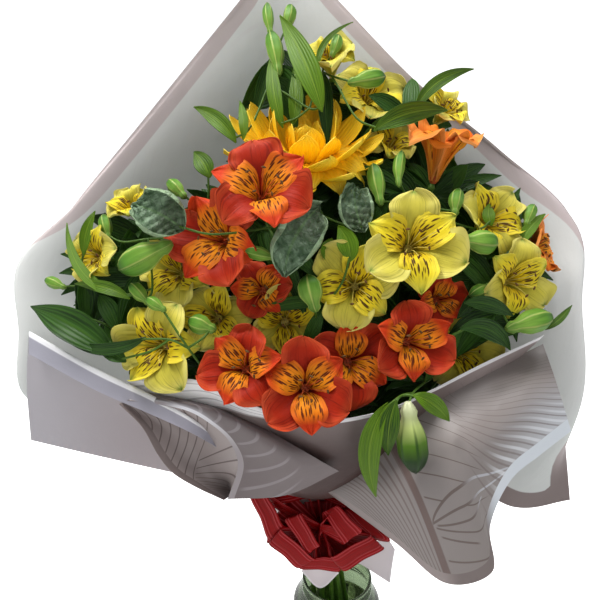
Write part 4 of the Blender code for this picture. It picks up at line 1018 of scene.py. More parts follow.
def wing_lines(look, s, c, across, along):
    """Pleats, a plain band, ribs and a leaf over the lobe, and a fan of fine rays with bright ends; the upper
    corner is painted paler as painted light, and the bright ray ends and the pale upper leaf lines are
    painted highlights.
    """
    w = look.times(look.plus(c, 1.0), 0.5)
    lean = look.ratio(look.less(0.30, s), look.less(1.0, look.times(w, 0.62)))
    pleats = look.times(stripes(look, look.times(lean, 34.0), 0.15), look.step(s, 0.300, 0.285),
                        look.step(s, 0.03, 0.10))
    band = look.times(look.step(s, 0.287, 0.291), look.step(s, 0.314, 0.309))
    after = look.less(s, 0.3)
    start = look.ratio(look.less(w, look.times(after, 2.1)), look.less(1.0, look.times(after, 1.75)))
    arcs = look.times(start, 5.3)
    t = look.math("MAXIMUM", look.ratio(look.less(s, 0.314), 0.422), 0.0)
    axis = look.plus(look.times(t, 0.26), 0.65)
    over = look.less(axis, look.times(look.math("SINE", look.times(look.math("POWER", t, 0.7), math.pi)),
                                      0.17))
    rest = look.less(1.0, t)
    under = look.less(axis, look.times(look.times(t, look.times(rest, rest)), 0.5))
    within = look.times(look.step(s, 0.310, 0.316), look.step(s, 0.738, 0.730))
    inside_leaf = look.times(look.step(look.less(w, over), -0.010, 0.0),
                             look.step(look.less(under, w), -0.010, 0.0), within)
    vein = look.plus(look.times(look.less(s, 0.332), 0.517), 0.67)
    spine = look.plus(look.times(look.less(s, 0.259), 1.07), 0.66)
    leaf = look.math("MAXIMUM", look.times(line_at(look, w, over, 0.009), within),
                     look.times(line_at(look, w, under, 0.007), within))
    for middle, last in ((vein, 0.56), (spine, 0.43)):
        leaf = look.math("MAXIMUM", leaf, look.times(line_at(look, w, middle, 0.006),
                                                     look.step(s, 0.320, 0.330),
                                                     look.step(s, last + 0.01, last - 0.01)))
    outside = look.less(1.0, inside_leaf)
    lobe = look.times(stripes(look, arcs, 0.030), look.step(s, 0.316, 0.322), look.step(s, 0.62, 0.56),
                      outside)
    turn = look.math("ARCTAN2", look.plus(w, 0.05), look.less(s, 0.40))
    fan = look.times(stripes(look, look.times(turn, 19.0), 0.075), look.step(s, 0.52, 0.60),
                     look.step(w, 0.10, 0.22))
    # bright ends of the rays near the hem: painted highlights
    painted_highlight = look.times(stripes(look, look.plus(look.times(turn, 19.0), 0.45), 0.13),
                        look.step(s, 0.60, 0.70), look.step(w, 0.50, 0.85))
    # the paler corner by the upper hem: painted light
    painted_light_corner = look.times(look.step(s, 0.62, 0.95), look.step(w, 0.30, 1.0))
    return [(pleats, srgb(0.44, 0.37, 0.35), 0.70), (band, srgb(0.42, 0.34, 0.32), 0.85),
            (lobe, srgb(0.40, 0.34, 0.32), 0.85),
            # the leaf's lines dark below and pale above: the pale ones are painted highlights
            (look.times(leaf, look.step(s, 0.56, 0.44)), srgb(0.40, 0.34, 0.32), 0.85),
            (look.times(leaf, look.step(s, 0.46, 0.60)), srgb(0.78, 0.79, 0.82), 0.7),
            (painted_light_corner, srgb(0.86, 0.88, 0.91), 0.75), (fan, srgb(0.46, 0.41, 0.40), 0.6),
            (painted_highlight, srgb(0.90, 0.91, 0.93), 0.7)]


def curl_lines(look, s, c, across, along):
    """Upright ribs that turn into a fan towards the mouth."""
    w = look.times(look.plus(c, 1.0), 0.5)
    slant = look.plus(s, look.times(w, 0.42))
    ribs = look.times(stripes(look, look.times(slant, 12.0), 0.07), look.step(slant, 0.80, 0.79))
    spread = look.ratio(look.less(s, 0.58), look.plus(0.10, look.times(w, 0.32)))
    fan = look.times(stripes(look, look.times(spread, 3.6), 0.06), look.step(s, 0.58, 0.60),
                     look.step(slant, 0.80, 0.82))
    return [(ribs, srgb(0.40, 0.35, 0.34), 0.85), (fan, srgb(0.40, 0.35, 0.34), 0.85)]


def cone_lines(look, s, c, across, along):
    """Pale arcs on the outside of the curl, and a painted highlight near the upper end of its mouth."""
    w = look.times(look.plus(c, 1.0), 0.5)
    curve = look.plus(look.times(s, 9.0), look.times(w, w, 3.0))
    arcs = look.times(stripes(look, curve, 0.09), look.step(w, 0.05, 0.15), look.step(w, 0.70, 0.50))
    # near the upper end of the mouth: painted highlight
    painted_highlight = look.times(look.step(look.plus(s, w), 0.62, 0.20), look.step(w, 0.60, 0.10))
    return [(arcs, srgb(0.60, 0.57, 0.58), 0.6), (painted_highlight, srgb(0.90, 0.90, 0.93), 0.8)]


def tail_lines(look, s, c, across, along):
    """The gathered ends show no print."""
    return []


def left_lines(look, s, c, across, along):
    """Plain, painted paler towards the far end and greyer on the roll's lip as painted light and shade, with
    a pale line along the rim as a painted highlight.
    """
    # greyer lip and paler far end: painted shade and painted light
    lip = look.step(c, 0.34, 0.40)
    far = look.step(s, 0.55, 1.0)
    # a pale line along the roll's rim: painted highlight
    rim = look.step(look.unsigned(look.less(c, 0.44)), 0.22, 0.18)
    return [(far, srgb(0.80, 0.80, 0.83), 0.5), (lip, srgb(0.60, 0.60, 0.65), 0.8),
            (rim, srgb(0.96, 0.96, 0.97), 0.9)]


def ribbon_look():
    look = Look("ribbon", Roughness=0.40, Specular_IOR_Level=0.10, Coat_Weight=0.02, Coat_Roughness=0.3)
    s, c, tone = look.painted("grain")
    side = look.unsigned(c)
    weave = look.math("SINE", look.times(c, 150.0))
    outer = look.step(look.unsigned(look.less(side, 0.82)), 0.07, 0.03)
    pair = look.step(look.unsigned(look.less(side, 0.52)), 0.06, 0.03)
    rib = look.math("MAXIMUM", pair, outer)
    grain = look.noise(look.vector(look.times(c, 20.0), look.times(s, 5.0), tone), 1.0, 2.0)
    base = look.mix(look.step(grain, 0.3, 0.75), srgb(0.47, 0.0, 0.004), srgb(0.62, 0.004, 0.015))
    # ribs painted paler and pinker: the ribbon's woven ribs, with a painted highlight along them
    base = look.mix(look.times(rib, 0.50), base, srgb(0.80, 0.33, 0.35))
    return look.wear(Base_Color=base, Normal=look.bump(weave, 0.15, 0.0003))


def glass_look():
    look = Look("jar_glass", Roughness=0.03, IOR=1.45, Transmission_Weight=0.92)
    ripple = look.noise(look.place(), 28.0, 2.0)
    tint = look.mix(look.step(ripple, 0.3, 0.7), srgb(0.52, 0.60, 0.46), srgb(0.62, 0.70, 0.56))
    return look.wear(Base_Color=tint, Normal=look.bump(ripple, 0.08, 0.002))


def water_look():
    look = Look("clear_water", Roughness=0.0, IOR=1.33, Transmission_Weight=0.96)
    swirl = look.noise(look.place(), 16.0, 1.0)
    tint = look.mix(look.step(swirl, 0.3, 0.7), srgb(0.70, 0.76, 0.58), srgb(0.79, 0.84, 0.67))
    return look.wear(Base_Color=tint)


# Fine pieces


class Pile:
    """Points, faces and their paint, gathered into one object."""

    def __init__(self):
        self.verts, self.faces, self.slots = [], [], []
        self.grain, self.place = [], []
        self.count = 0

    def add(self, verts, faces, grain, place, slot=0):
        self.verts.append(np.asarray(verts, float))
        self.grain.append(np.asarray(grain, float))
        self.place.append(np.asarray(place, float))
        self.faces.extend([tuple(i + self.count for i in face) for face in faces])
        self.slots.extend([slot] * len(faces))
        self.count += len(verts)

    def build(self, name, looks, slot, *nodes):
        mesh = bpy.data.meshes.new(name)
        mesh.from_pydata(np.concatenate(self.verts).tolist(), [], self.faces)
        for word, rows in (("grain", self.grain), ("place", self.place)):
            made = mesh.attributes.new(word, "FLOAT_VECTOR", "POINT")
            made.data.foreach_set("vector", np.concatenate(rows).astype(np.float32).ravel())
        for look in looks:
            mesh.materials.append(look)
        mesh.polygons.foreach_set("material_index", self.slots)
        mesh.shade_smooth()
        mesh.set_sharp_from_angle(angle=math.radians(55))
        piece = bpy.data.objects.new(name, mesh)
        bpy.context.scene.collection.objects.link(piece)
        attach(piece, "root")
        if nodes:
            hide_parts(*nodes)
        return piece


def shell(pile, point, rows, cols, thickness, tone, slot=0, matrix=None, edges=""):
    """A thin closed sheet on point(s, c), with its paint: (s, c, tone) and metres along it."""
    steps = np.linspace(0.0, 1.0, rows + 1)
    lanes = np.linspace(-1.0, 1.0, cols + 1)
    at = np.array([[point(float(s), float(c)) for c in lanes] for s in steps])
    if matrix is not None:
        turn = np.array(matrix)
        at = at @ turn[:3, :3].T + turn[:3, 3]
    normal = np.cross(np.gradient(at, axis=1), np.gradient(at, axis=0))
    normal /= np.maximum(np.linalg.norm(normal, axis=2, keepdims=True), 1e-12)
    along = np.zeros(at.shape[:2])
    along[1:] = np.cumsum(np.linalg.norm(np.diff(at, axis=0), axis=2), axis=0)
    across = np.zeros(at.shape[:2])
    across[:, 1:] = np.cumsum(np.linalg.norm(np.diff(at, axis=1), axis=2), axis=1)
    edge = np.full(at.shape[:2], NO_EDGE)
    if "l" in edges:
        edge = np.minimum(edge, across)
    if "r" in edges:
        edge = np.minimum(edge, across[:, -1:] - across)
    if "t" in edges:
        edge = np.minimum(edge, along[-1:] - along)
    if "b" in edges:
        edge = np.minimum(edge, along)
    across = across - across[:, cols // 2:cols // 2 + 1]
    grain = np.stack([np.broadcast_to(steps[:, None], edge.shape), np.broadcast_to(lanes[None], edge.shape),
                      np.full(edge.shape, tone)], axis=2).reshape(-1, 3)
    place = np.stack([along, across, edge], axis=2) if not edges else np.stack([across, along, edge], axis=2)
    place = place.reshape(-1, 3)
    n = (rows + 1) * (cols + 1)
    top = (at + normal * thickness / 2).reshape(-1, 3)
    low = (at - normal * thickness / 2).reshape(-1, 3)
    k = np.arange(n).reshape(rows + 1, cols + 1)
    front = np.stack([k[:-1, :-1], k[:-1, 1:], k[1:, 1:], k[1:, :-1]], axis=2).reshape(-1, 4)
    loop = list(k[0, :]) + list(k[1:, -1]) + list(k[-1, -2::-1]) + list(k[-2:0:-1, 0])
    faces = [tuple(f) for f in front.tolist()] + [tuple(n + i for i in f[::-1]) for f in front.tolist()]
    faces += [(int(b), int(a), int(a) + n, int(b) + n) for a, b in zip(loop, loop[1:] + loop[:1])]
    pile.add(np.concatenate([top, low]), faces, np.concatenate([grain, grain]),
             np.concatenate([place, place]), slot)


def smooth(points, per_run):
    """The same path, rounded."""
    last = len(points) - 1
    count = last * per_run
    return [catmull(points, last * k / count) for k in range(count + 1)]


def tube_faces(runs, sides):
    """The faces of a closed tube whose rings of points follow one another."""
    faces = []
    for i in range(runs):
        for k in range(sides):
            j = (k + 1) % sides
            faces.append((i * sides + k, i * sides + j, (i + 1) * sides + j, (i + 1) * sides + k))
    faces.append(tuple(reversed(range(sides))))
    faces.append(tuple(runs * sides + k for k in range(sides)))
    return faces


def pipe(pile, points, radii, sides, tone, slot=0):
    """A closed round tube of changing radius along the points."""
    verts, grain, place = [], [], []
    ahead = (points[1] - points[0]).normalized()
    side = ahead.cross(Vector((0.3, 0.2, 1.0))).normalized()
    length = 0.0
    for i, spot in enumerate(points):
        a, b = points[max(0, i - 1)], points[min(len(points) - 1, i + 1)]
        ahead = (b - a).normalized()
        side = (side - ahead * side.dot(ahead)).normalized()
        other = ahead.cross(side)
        length += (spot - points[max(0, i - 1)]).length
        for k in range(sides):
            angle = math.tau * k / sides
            verts.append(spot + (side * math.cos(angle) + other * math.sin(angle)) * radii[i])
            grain.append((i / (len(points) - 1), 2 * k / sides - 1, tone))
            place.append((length, angle * radii[i], NO_EDGE))
    pile.add(verts, tube_faces(len(points) - 1, sides), grain, place, slot)


def round_end(s, start):
    """Closes a blade with a round end from start on, never quite to nothing."""
    return math.sqrt(max(0.006, 1.0 - max(0.0, (s - start) / (1.0 - start)) ** 2))


def fine_petal(pile, matrix, size, opening, width, pointed, turn, draw, slot):
    """A ruffled petal on the lines of the CAD one."""
    reach = size * (0.20 + 0.37 * opening)
    rise = size * (0.62 - 0.26 * opening)
    belly, cup = (0.12, 0.15) if pointed else (0.32, 0.22)
    phase, wave, curl = draw.uniform(0, 6.28), draw.uniform(0.6, 1.5), draw.uniform(-0.2, 1.6)
    skew, roll = draw.uniform(-0.10, 0.10), draw.uniform(-0.45, 0.45)
    spin = Matrix.Rotation(turn, 3, "Z")

    def point(t, c):
        s = 1.0 - (1.0 - t) ** 1.35
        if pointed:
            half = width / 2 * (0.12 + 1.00 * math.sin(math.pi * min(1.0, 0.88 * s ** 1.25)) ** 0.85)
            half *= round_end(s, 0.74)
            notch = -0.03 * (1 - abs(c)) * s ** 6
        else:
            half = width / 2 * (0.12 + 0.97 * math.sin(math.pi * 0.84 * s ** 1.25) ** 0.85)
            half *= round_end(s, 0.78)
            notch = (0.07 * math.exp(-(c / 0.30) ** 2) - 0.05 * math.exp(-(c / 0.10) ** 2)) * s ** 10
        half *= 1.0 + 0.050 * math.sin(13.0 * s + phase + 2.0 * c) * s
        r = quad(0.0030, reach * belly, reach * (1 - notch), s)
        z = quad(0.0, rise * 1.05, rise * 0.92, s) + cup * half * c * c
        z -= 0.00070 * math.exp(-(c / 0.14) ** 2) * math.sin(math.pi * min(1.0, s * 1.1))
        z += half * roll * c * s * s
        edge = abs(c) ** 2 * s
        z += size * edge * (0.055 * wave * math.sin(7.0 * s + phase + 1.2 * c) + 0.022
                            * math.sin(22.0 * s + 2.0 * phase + c))
        z += size * 0.010 * math.sin(8.0 * c + phase) * s
        z -= size * 0.075 * curl * max(0.0, (s - 0.55) / 0.45) ** 2
        return spin @ Vector((r, c * half + skew * size * s * s * 0.5, z))
    shell(pile, point, 20, 14, FINE_BLADE, draw.random(), slot, matrix)


# Blooms whose petals stand larger and more upright than their solids: size and opening
FINE_SIZE = {"orange_bloom_1": (0.080, 0.42)}


def fine_bloom(name, row, matrix, seed, looks):
    """Six petals, stamens and a throat, with the same draws as the CAD bloom."""
    size, opening = FINE_SIZE.get(name, (row[7], row[8]))
    draw, extra = random.Random(seed), random.Random(seed + 500)
    pile = Pile()
    for k in range(3):
        turn = math.radians(120 * k + draw.uniform(-6, 6))
        wide = size * 0.46 * draw.uniform(0.92, 1.06)
        spread = opening * draw.uniform(0.94, 1.02)
        fine_petal(pile, matrix, size * 1.05, spread * extra.uniform(0.86, 1.04), wide * 1.10, False, turn,
                   extra, 0)
        turn += math.radians(60 + draw.uniform(-5, 5))
        spread = opening * draw.uniform(0.80, 0.88)
        fine_petal(pile, matrix, size * extra.uniform(0.96, 1.06), spread, size * 0.36, True, turn, extra, 1)
    throat = [matrix @ Vector((0, 0, z)) for z in (CORE_LOW, 0.0, 0.003, CORE_HIGH)]
    pipe(pile, throat, [0.0024, 0.0034, 0.0040, 0.0030], 12, 0.5, 2)
    for k in range(6):
        angle = math.tau * (k + extra.uniform(-0.2, 0.2)) / 6
        lean = size * extra.uniform(0.10, 0.22)
        top = size * (0.34 + extra.uniform(0.0, 0.14))
        a = polar(0.0012, angle, 0.002)
        b = polar(lean * 0.2, angle, top * 0.7)
        c = Vector((lean * math.cos(angle), lean * math.sin(angle) - 0.004, top))
        line = [matrix @ quad(a, b, c, i / 8) for i in range(9)]
        pipe(pile, line, [0.0005 - 0.00003 * i for i in range(9)], 6, extra.random(), 2)
        way = (line[-1] - line[-2]).normalized()
        across = way.cross(Vector((0.2, 0.9, 0.1))).normalized()
        spots = [line[-1] + across * (i - 3) * 0.0006 for i in range(7)]
        pipe(pile, spots, [0.0002, 0.0006, 0.0008, 0.0009, 0.0008, 0.0006, 0.0002], 8, extra.random(), 3)
    return pile.build("fine_" + name, looks, name.split("_")[0] + "_petal", name)


def fine_leaf(pile, row, back, ruffle, tone, slot, steps=(20, 8)):
    """A leaf on the CAD one's middle line, with a folded midrib and a slight twist."""
    a, b, c = leaf_curve(row, back)
    width = row[6]
    draw = random.Random(int(row[1] * 7 + row[2] * 3))
    twist, phase = draw.uniform(-0.35, 0.35), draw.uniform(0, 6.28)
    fold = 0.30 if width >= NARROW_LEAF else 0.18

    def point(s, cross):
        middle, side, lift = leaf_frame(a, b, c, s)
        roll = twist * (s - 0.3)
        side, lift = (side * math.cos(roll) + lift * math.sin(roll),
                      lift * math.cos(roll) - side * math.sin(roll))
        half = width / 2 * max(0.05, math.sin(math.pi * min(1.0, s) ** 0.92) ** 0.85)
        wave = ruffle * math.sin(s * 17.0 + 1.5 * cross) * abs(cross) ** 2
        wave += width * 0.05 * math.sin(s * 9.0 + phase + cross) * abs(cross) ** 2
        if ruffle:
            # a broad leaf rolls its edges to the eye and crinkles
            half *= 1.35
            lobe = math.exp(-((s - 0.52) / 0.17) ** 2) if cross > 0 and width > 0.035 else 0.0
            straight = 0.82 - 0.14 * math.sin(math.pi * s) - 0.26 * lobe
            over = max(0.0, abs(cross) - straight)
            tight = 0.085 + 0.090 * lobe
            flat = math.copysign(min(abs(cross), straight) + tight * math.sin(over / tight), cross)
            up = tight * (1.0 - math.cos(over / tight)) + 0.30 * abs(cross) ** 1.5
            wave += (0.0009 * math.sin(41.0 * s + 9.0 * cross)
                     + 0.0007 * math.sin(27.0 * s - 15.0 * cross + phase))
            return middle + side * flat * half + lift * (up * half + wave)
        return middle + side * cross * half + lift * (fold * abs(cross) ** 1.3 * half + wave)
    shell(pile, point, steps[0], steps[1], FINE_BLADE, tone, slot)


def fine_bud(pile, row, back, slot):
    """A ribbed bud that swells from its ovary and closes to a blunt tip."""
    _, u0, v0, u1, v1, width, push = row
    foot = seen(u0, v0, dome(u0, v0) + push + back)
    tip = seen(u1, v1, dome(u1, v1) + push + back)
    length = (tip - foot).length
    turn = frame_on((tip - foot).normalized())
    side, other = turn.to_3x3() @ Vector((1, 0, 0)), turn.to_3x3() @ Vector((0, 1, 0))
    draw = random.Random(int(u0 * 11 + v0))
    bend, tone = draw.uniform(-0.05, 0.05), draw.random()
    sides, rings = 36, 16
    verts, grain, place = [], [], []
    for i in range(rings + 1):
        s = i / rings
        swell = 0.16 + 0.36 * math.exp(-((s - 0.10) / 0.07) ** 2)
        swell += 0.90 * math.sin(math.pi * min(1.0, max(0.0, (s - 0.10) / 0.90)) ** 1.15) ** 0.8
        swell = min(swell, 1.0) * round_end(s, 0.88)
        middle = foot + (tip - foot) * s + side * length * bend * math.sin(math.pi * s)
        for k in range(sides):
            angle = math.tau * k / sides
            r = width / 2 * swell * (1.0 + 0.07 * math.cos(6 * angle))
            verts.append(middle + (side * math.cos(angle) + other * math.sin(angle)) * r)
            grain.append((s, 2 * k / sides - 1, tone))
            place.append((s * length, angle * r, NO_EDGE))
    pile.add(verts, tube_faces(rings, sides), grain, place, slot)


def fine_loop(pile, length, width, turn, lean, place, tone):
    """A flattened loop of ribbed ribbon with a squared outer end."""
    fat = length * 0.26
    root = 0.003
    matrix = place @ Matrix.Rotation(turn, 4, "Z") @ Matrix.Rotation(-lean, 4, "Y")

    def point(s, c):
        around = math.tau * (0.06 + 0.88 * s)
        share = 0.5 - 0.5 * math.cos(around)
        x = root + length * share ** 0.7
        z = fat / 2 * math.copysign(abs(math.sin(around)) ** 0.6,
                                    math.sin(around)) * (0.30 + 0.70 * x / length)
        rib = 0.0005 * math.exp(-((abs(c) - 0.45) / 0.07) ** 2) + 0.0004 * math.exp(-(c / 0.07) ** 2)
        return Vector((x, c * width / 2 * (0.80 + 0.46 * x / length),
                       z + rib * math.copysign(1.0, math.sin(around))))
    shell(pile, point, 44, 30, FINE_BLADE, tone, 0, matrix)


def lathe(name, profile, sides, look, slot, node):
    """A closed turned piece."""
    pile = Pile()
    verts, grain, place, faces = [], [], [], []
    rings = [p for p in profile if p[0] > 0]
    for i, (r, z) in enumerate(rings):
        for k in range(sides):
            angle = math.tau * k / sides
            verts.append((r * math.cos(angle), r * math.sin(angle), z))
            grain.append((i / len(rings), 2 * k / sides - 1, 0.5))
            place.append((z, angle * r, NO_EDGE))
    for i in range(len(rings) - 1):
        for k in range(sides):
            j = (k + 1) % sides
            faces.append((i * sides + k, (i + 1) * sides + k, (i + 1) * sides + j, i * sides + j))
    faces.append(tuple(range(sides)))
    faces.append(tuple(reversed([(len(rings) - 1) * sides + k for k in range(sides)])))
    pile.add(verts, faces, grain, place)
    made = pile.build(name, [look], slot, node)
    bm = bmesh.new()
    bm.from_mesh(made.data)
    bmesh.ops.recalc_face_normals(bm, faces=bm.faces[:])
    bm.to_mesh(made.data)
    bm.free()
    return made


# The curl's mouth, and the cone outside it that runs back into the front sheet
MOUTH_EDGE = ((128, 400, 0.458), (182, 409, 0.4535), (211, 424, 0.4525), (230, 442, 0.454),
              (238, 466, 0.460), (228, 499, 0.472))
CONE_BULGE = ((140, 396, 0.460), (197, 405, 0.450), (236, 422, 0.440), (268, 446, 0.437), (288, 468, 0.446),
              (286, 495, 0.466))
CONE_END = ((150, 393, 0.464), (212, 406, 0.456), (262, 428, 0.446), (300, 449, 0.443), (321, 461, 0.447),
            (339, 471, 0.455))

# The outline of the flower dome as the eye sees it, for the leaves in its gaps
DOME_EDGE = [(60, 222), (100, 196), (190, 150), (222, 118), (262, 70), (300, 60), (352, 52), (420, 78),
             (470, 112),
             (512, 175), (548, 215), (566, 300), (520, 345), (440, 385), (370, 415), (330, 425), (230, 385),
             (130, 378), (56, 330)]
GAP_TRIES = 4200


# Where everything stands, as in the CAD


def grown(kind, row, standing):
    """A bud or leaf, stepped along the line of sight until clear, with the step it took."""
    best = None
    for step in sorted(range(-STEPS_FORWARD, STEPS), key=abs):
        back = step * STEP_BACK
        if kind == "bud":
            pieces, foot, way = bud_pieces(row, back)
        elif kind == "leaf":
            steps = (3, 1) if row[6] < NARROW_LEAF else (3, 2)
            pieces, foot, way = leaf_pieces(row, back, steps)
        else:
            pieces, foot, way = leaf_pieces(row, back, (6, 4), row[9])
        count = standing.hits(pieces, row[0])
        if best is None or count < best[0]:
            best = (count, pieces, foot, way, back)
        if count == 0:
            break
    return best[1:]


def arrange():
    """Repeat the CAD's placing: blooms, stalks, buds and leaves, with their places."""
    standing = Standing()
    standing.add("wrap_back", [blade(fan_point(BACK_SHEET), 8, 15, FILM)])
    front = [blade(fan_point(FRONT_SHEET), 7, 14, FILM),
             blade(row_point((WING_FOLD, WING_MIDDLE, WING_HEM)), 10, 4, FILM),
             blade(row_point((CURL_OUTER, CURL_MIDDLE, CURL_MOUTH)), 6, 3, FILM),
             blade(row_point((LEFT_LOWER, LEFT_BELLY, LEFT_RIM, LEFT_LIP)), 6, 5, FILM)]
    standing.add("wrap_front", front)
    paths, anchors = {}, {}
    for name, (spot, place) in STEMS.items():
        umbel = seen(*spot)
        path = stem_path(place, umbel)
        paths[name] = path
        anchors[name] = [umbel, path[-2]]
        beyond = umbel + (path[-1] - path[-2]).normalized() * 0.004
        standing.add(name, [tube(path[:-1] + [beyond], STEM_RADIUS, 1)])
    rays, at, way = sunflower_meshes()
    base = at - way * (SUN_BACK + GAP)
    sun_path = stem_path(SUNFLOWER_NECK, base - way * SUN_BEND)
    sun_stem = [tube(sun_path + [base - way * 0.004], STEM_RADIUS, 1),
                cone_between(base - way * 0.009, base, 0.004, SUN_DISC * 0.78, 10)]
    standing.add("sunflower_stem", sun_stem)
    standing.add("sunflower_petals", rays)
    placed, stalks, greens = {}, [], []
    for seed, (name, row) in enumerate(BLOOMS.items(), FIRST_SEED):
        pieces = bloom_pieces(row[7], row[8], seed)
        matrix, there = settle(lambda back, row=row: bloom_place(row, back), pieces, standing)
        standing.add(name, there)
        placed[name] = (row, matrix, seed)
    for name, (row, matrix, seed) in placed.items():
        stem = row[0]
        up = (matrix.to_3x3() @ Vector((0, 0, 1))).normalized()
        top = matrix @ Vector((0, 0, CORE_LOW - GAP))
        low = top - up * OVARY
        points = route(low, -up, anchors[stem][0], Vector((0, 0, 0.6)), standing, stem)[1]
        shares = [2.4, 2.4] + [1.0] * len(points)
        stalk = tube([top, low + up * OVARY * 0.4] + points, PEDICEL_RADIUS, 0, shares)
        stalks.append((stem, "bloom", top, points))
        standing.add(stem, [stalk])
        anchors[stem] += points[1:-1]
    jobs = [("bud", row) for row in BUDS] + [("leaf", row) for row in LEAVES]
    jobs += [("wavy", ("dark_leaf", *row)) for row in WAVY_LEAVES]
    for kind, row in jobs:
        stem = row[0]
        pieces, foot, up, back = grown(kind, row, standing)
        near = sorted(anchors[stem], key=lambda spot: (spot - foot).length)
        best = None
        for anchor in near[:6]:
            tried = route(foot + up * 0.004, -up, anchor, Vector((0, 0, 0.3)), standing, stem)
            if best is None or tried[0] < best[0]:
                best = tried
            if best[0] == 0:
                break
        points = best[1]
        standing.add(stem, pieces + [tube(points, PEDICEL_RADIUS, 0)])
        stalks.append((stem, kind, foot, points))
        greens.append((kind, row, back))
        anchors[stem] += points[1:-1]
    return standing, paths, sun_path, base, at, way, placed, stalks, greens


def inside(u, v, outline):
    """True where (u, v) is inside the closed outline."""
    hit = False
    for (u0, v0), (u1, v1) in zip(outline, outline[1:] + outline[:1]):
        if (v0 > v) != (v1 > v) and u < u0 + (v - v0) / (v1 - v0) * (u1 - u0):
            hit = not hit
    return hit


def spotted(p):
    """Where the eye sees a point: u, v and its depth."""
    rel = p - EYE
    depth = rel.dot(AHEAD)
    return MIDDLE + FOCAL * rel.dot(RIGHT) / depth, MIDDLE + FOCAL * rel.dot(DOWN) / depth, depth


def fill_gaps(piles, paths, stalks, standing):
    """Dark lance leaves off the stems and stalks, behind the flowers and clear of all that stands; their dark
    colour is painted shade for the gaps.
    """
    draw = random.Random(9)
    feet = []
    for name, path in paths.items():
        feet += [(name, catmull(path[2:], t * (len(path) - 3))) for t in np.linspace(0.45, 0.99, 16).tolist()]
    for stem, _, _, points in stalks:
        feet += [(stem, catmull(points, t * (len(points) - 1))) for t in (0.25, 0.5, 0.75, 0.95)]
    for attempt in range(GAP_TRIES):
        stem, foot = feet[attempt % len(feet)]
        length, width = draw.uniform(0.035, 0.075), draw.uniform(0.011, 0.020)
        turn = draw.uniform(0, math.tau)
        out = (math.cos(turn) * RIGHT - math.sin(turn) * DOWN - draw.uniform(-0.3, 0.5) * AHEAD).normalized()
        tip = foot + out * length
        bend = foot + out * length * 0.5 + Vector((0, 0, 0.008))
        clear = True
        for spot, room in ((foot.lerp(tip, 0.5), 0.010), (tip, 0.012)):
            u, v, depth = spotted(spot)
            clear = clear and inside(u, v, DOME_EDGE) and depth > dome(u, v) + room
        if not clear or stem == "dark_leaf":
            continue
        twist = draw.uniform(-0.5, 0.5)

        def point(s, cross):
            middle, side, lift = leaf_frame(foot, bend, tip, s)
            side = (side + lift * twist).normalized()
            half = width / 2 * max(0.05, math.sin(math.pi * s ** 0.92) ** 0.85)
            return middle + side * cross * half + lift * (0.25 * abs(cross) ** 1.3 * half)
        rough = blade(point, 4, 2, 0.001)
        if standing.hits([rough], stem):
            continue
        standing.add(stem, [rough])
        shell(piles[stem], point, 8, 4, FINE_BLADE, draw.random(), 6)


def flowers(looks):
    standing, paths, sun_path, base, at, way, placed, stalks, greens = arrange()
    for name, (row, matrix, seed) in placed.items():
        colour = name.split("_")[0]
        fine_bloom(name, row, matrix, seed, looks[colour])
    piles = {name: Pile() for name in paths}
    for name, path in paths.items():
        line = smooth(path, 6)
        share = [1.0 - 0.25 * (i / (len(line) - 1)) ** 2 for i in range(len(line))]
        pipe(piles[name], line, [STEM_RADIUS * k for k in share], 14, 0.4, 0)
    for stem, kind, top, points in stalks:
        line = smooth([top] + points if kind == "bloom" else points, 5)
        count = len(line)
        if kind == "bloom":
            radii = [PEDICEL_RADIUS * (1.0 + 1.9 * math.exp(-((i / count * len(points) - 0.45) / 0.40) ** 2))
                     for i in range(count)]
        else:
            radii = [PEDICEL_RADIUS * 0.9] * count
        pipe(piles[stem], line, radii, 10, 0.6, 1)
    for kind, row, back in greens:
        if kind == "bud":
            big = row[5] > 0.020 and row[0] == "yellow_low"
            fine_bud(piles[row[0]], row, back, 4 if big else 3)
        elif kind == "leaf":
            # low leaves at the left and right take the darker leaf look: painted shade
            dark = row[2] > 300 and (row[1] < 150 or 440 < row[1] < 500)
            fine_leaf(piles[row[0]], row, back, 0.0, random.Random(row[1]).random(), 6 if dark else 2)
        else:
            fine_leaf(piles[row[0]], row, back, row[9], 0.3, 5, (36, 20))
    fill_gaps(piles, paths, stalks, standing)
    for name, pile in piles.items():
        pile.build("fine_stem_" + name, looks["stem"], "dark_green" if name == "dark_leaf" else "green",
                   "stem_" + name)
    sunflower(looks, sun_path, base, at, way)


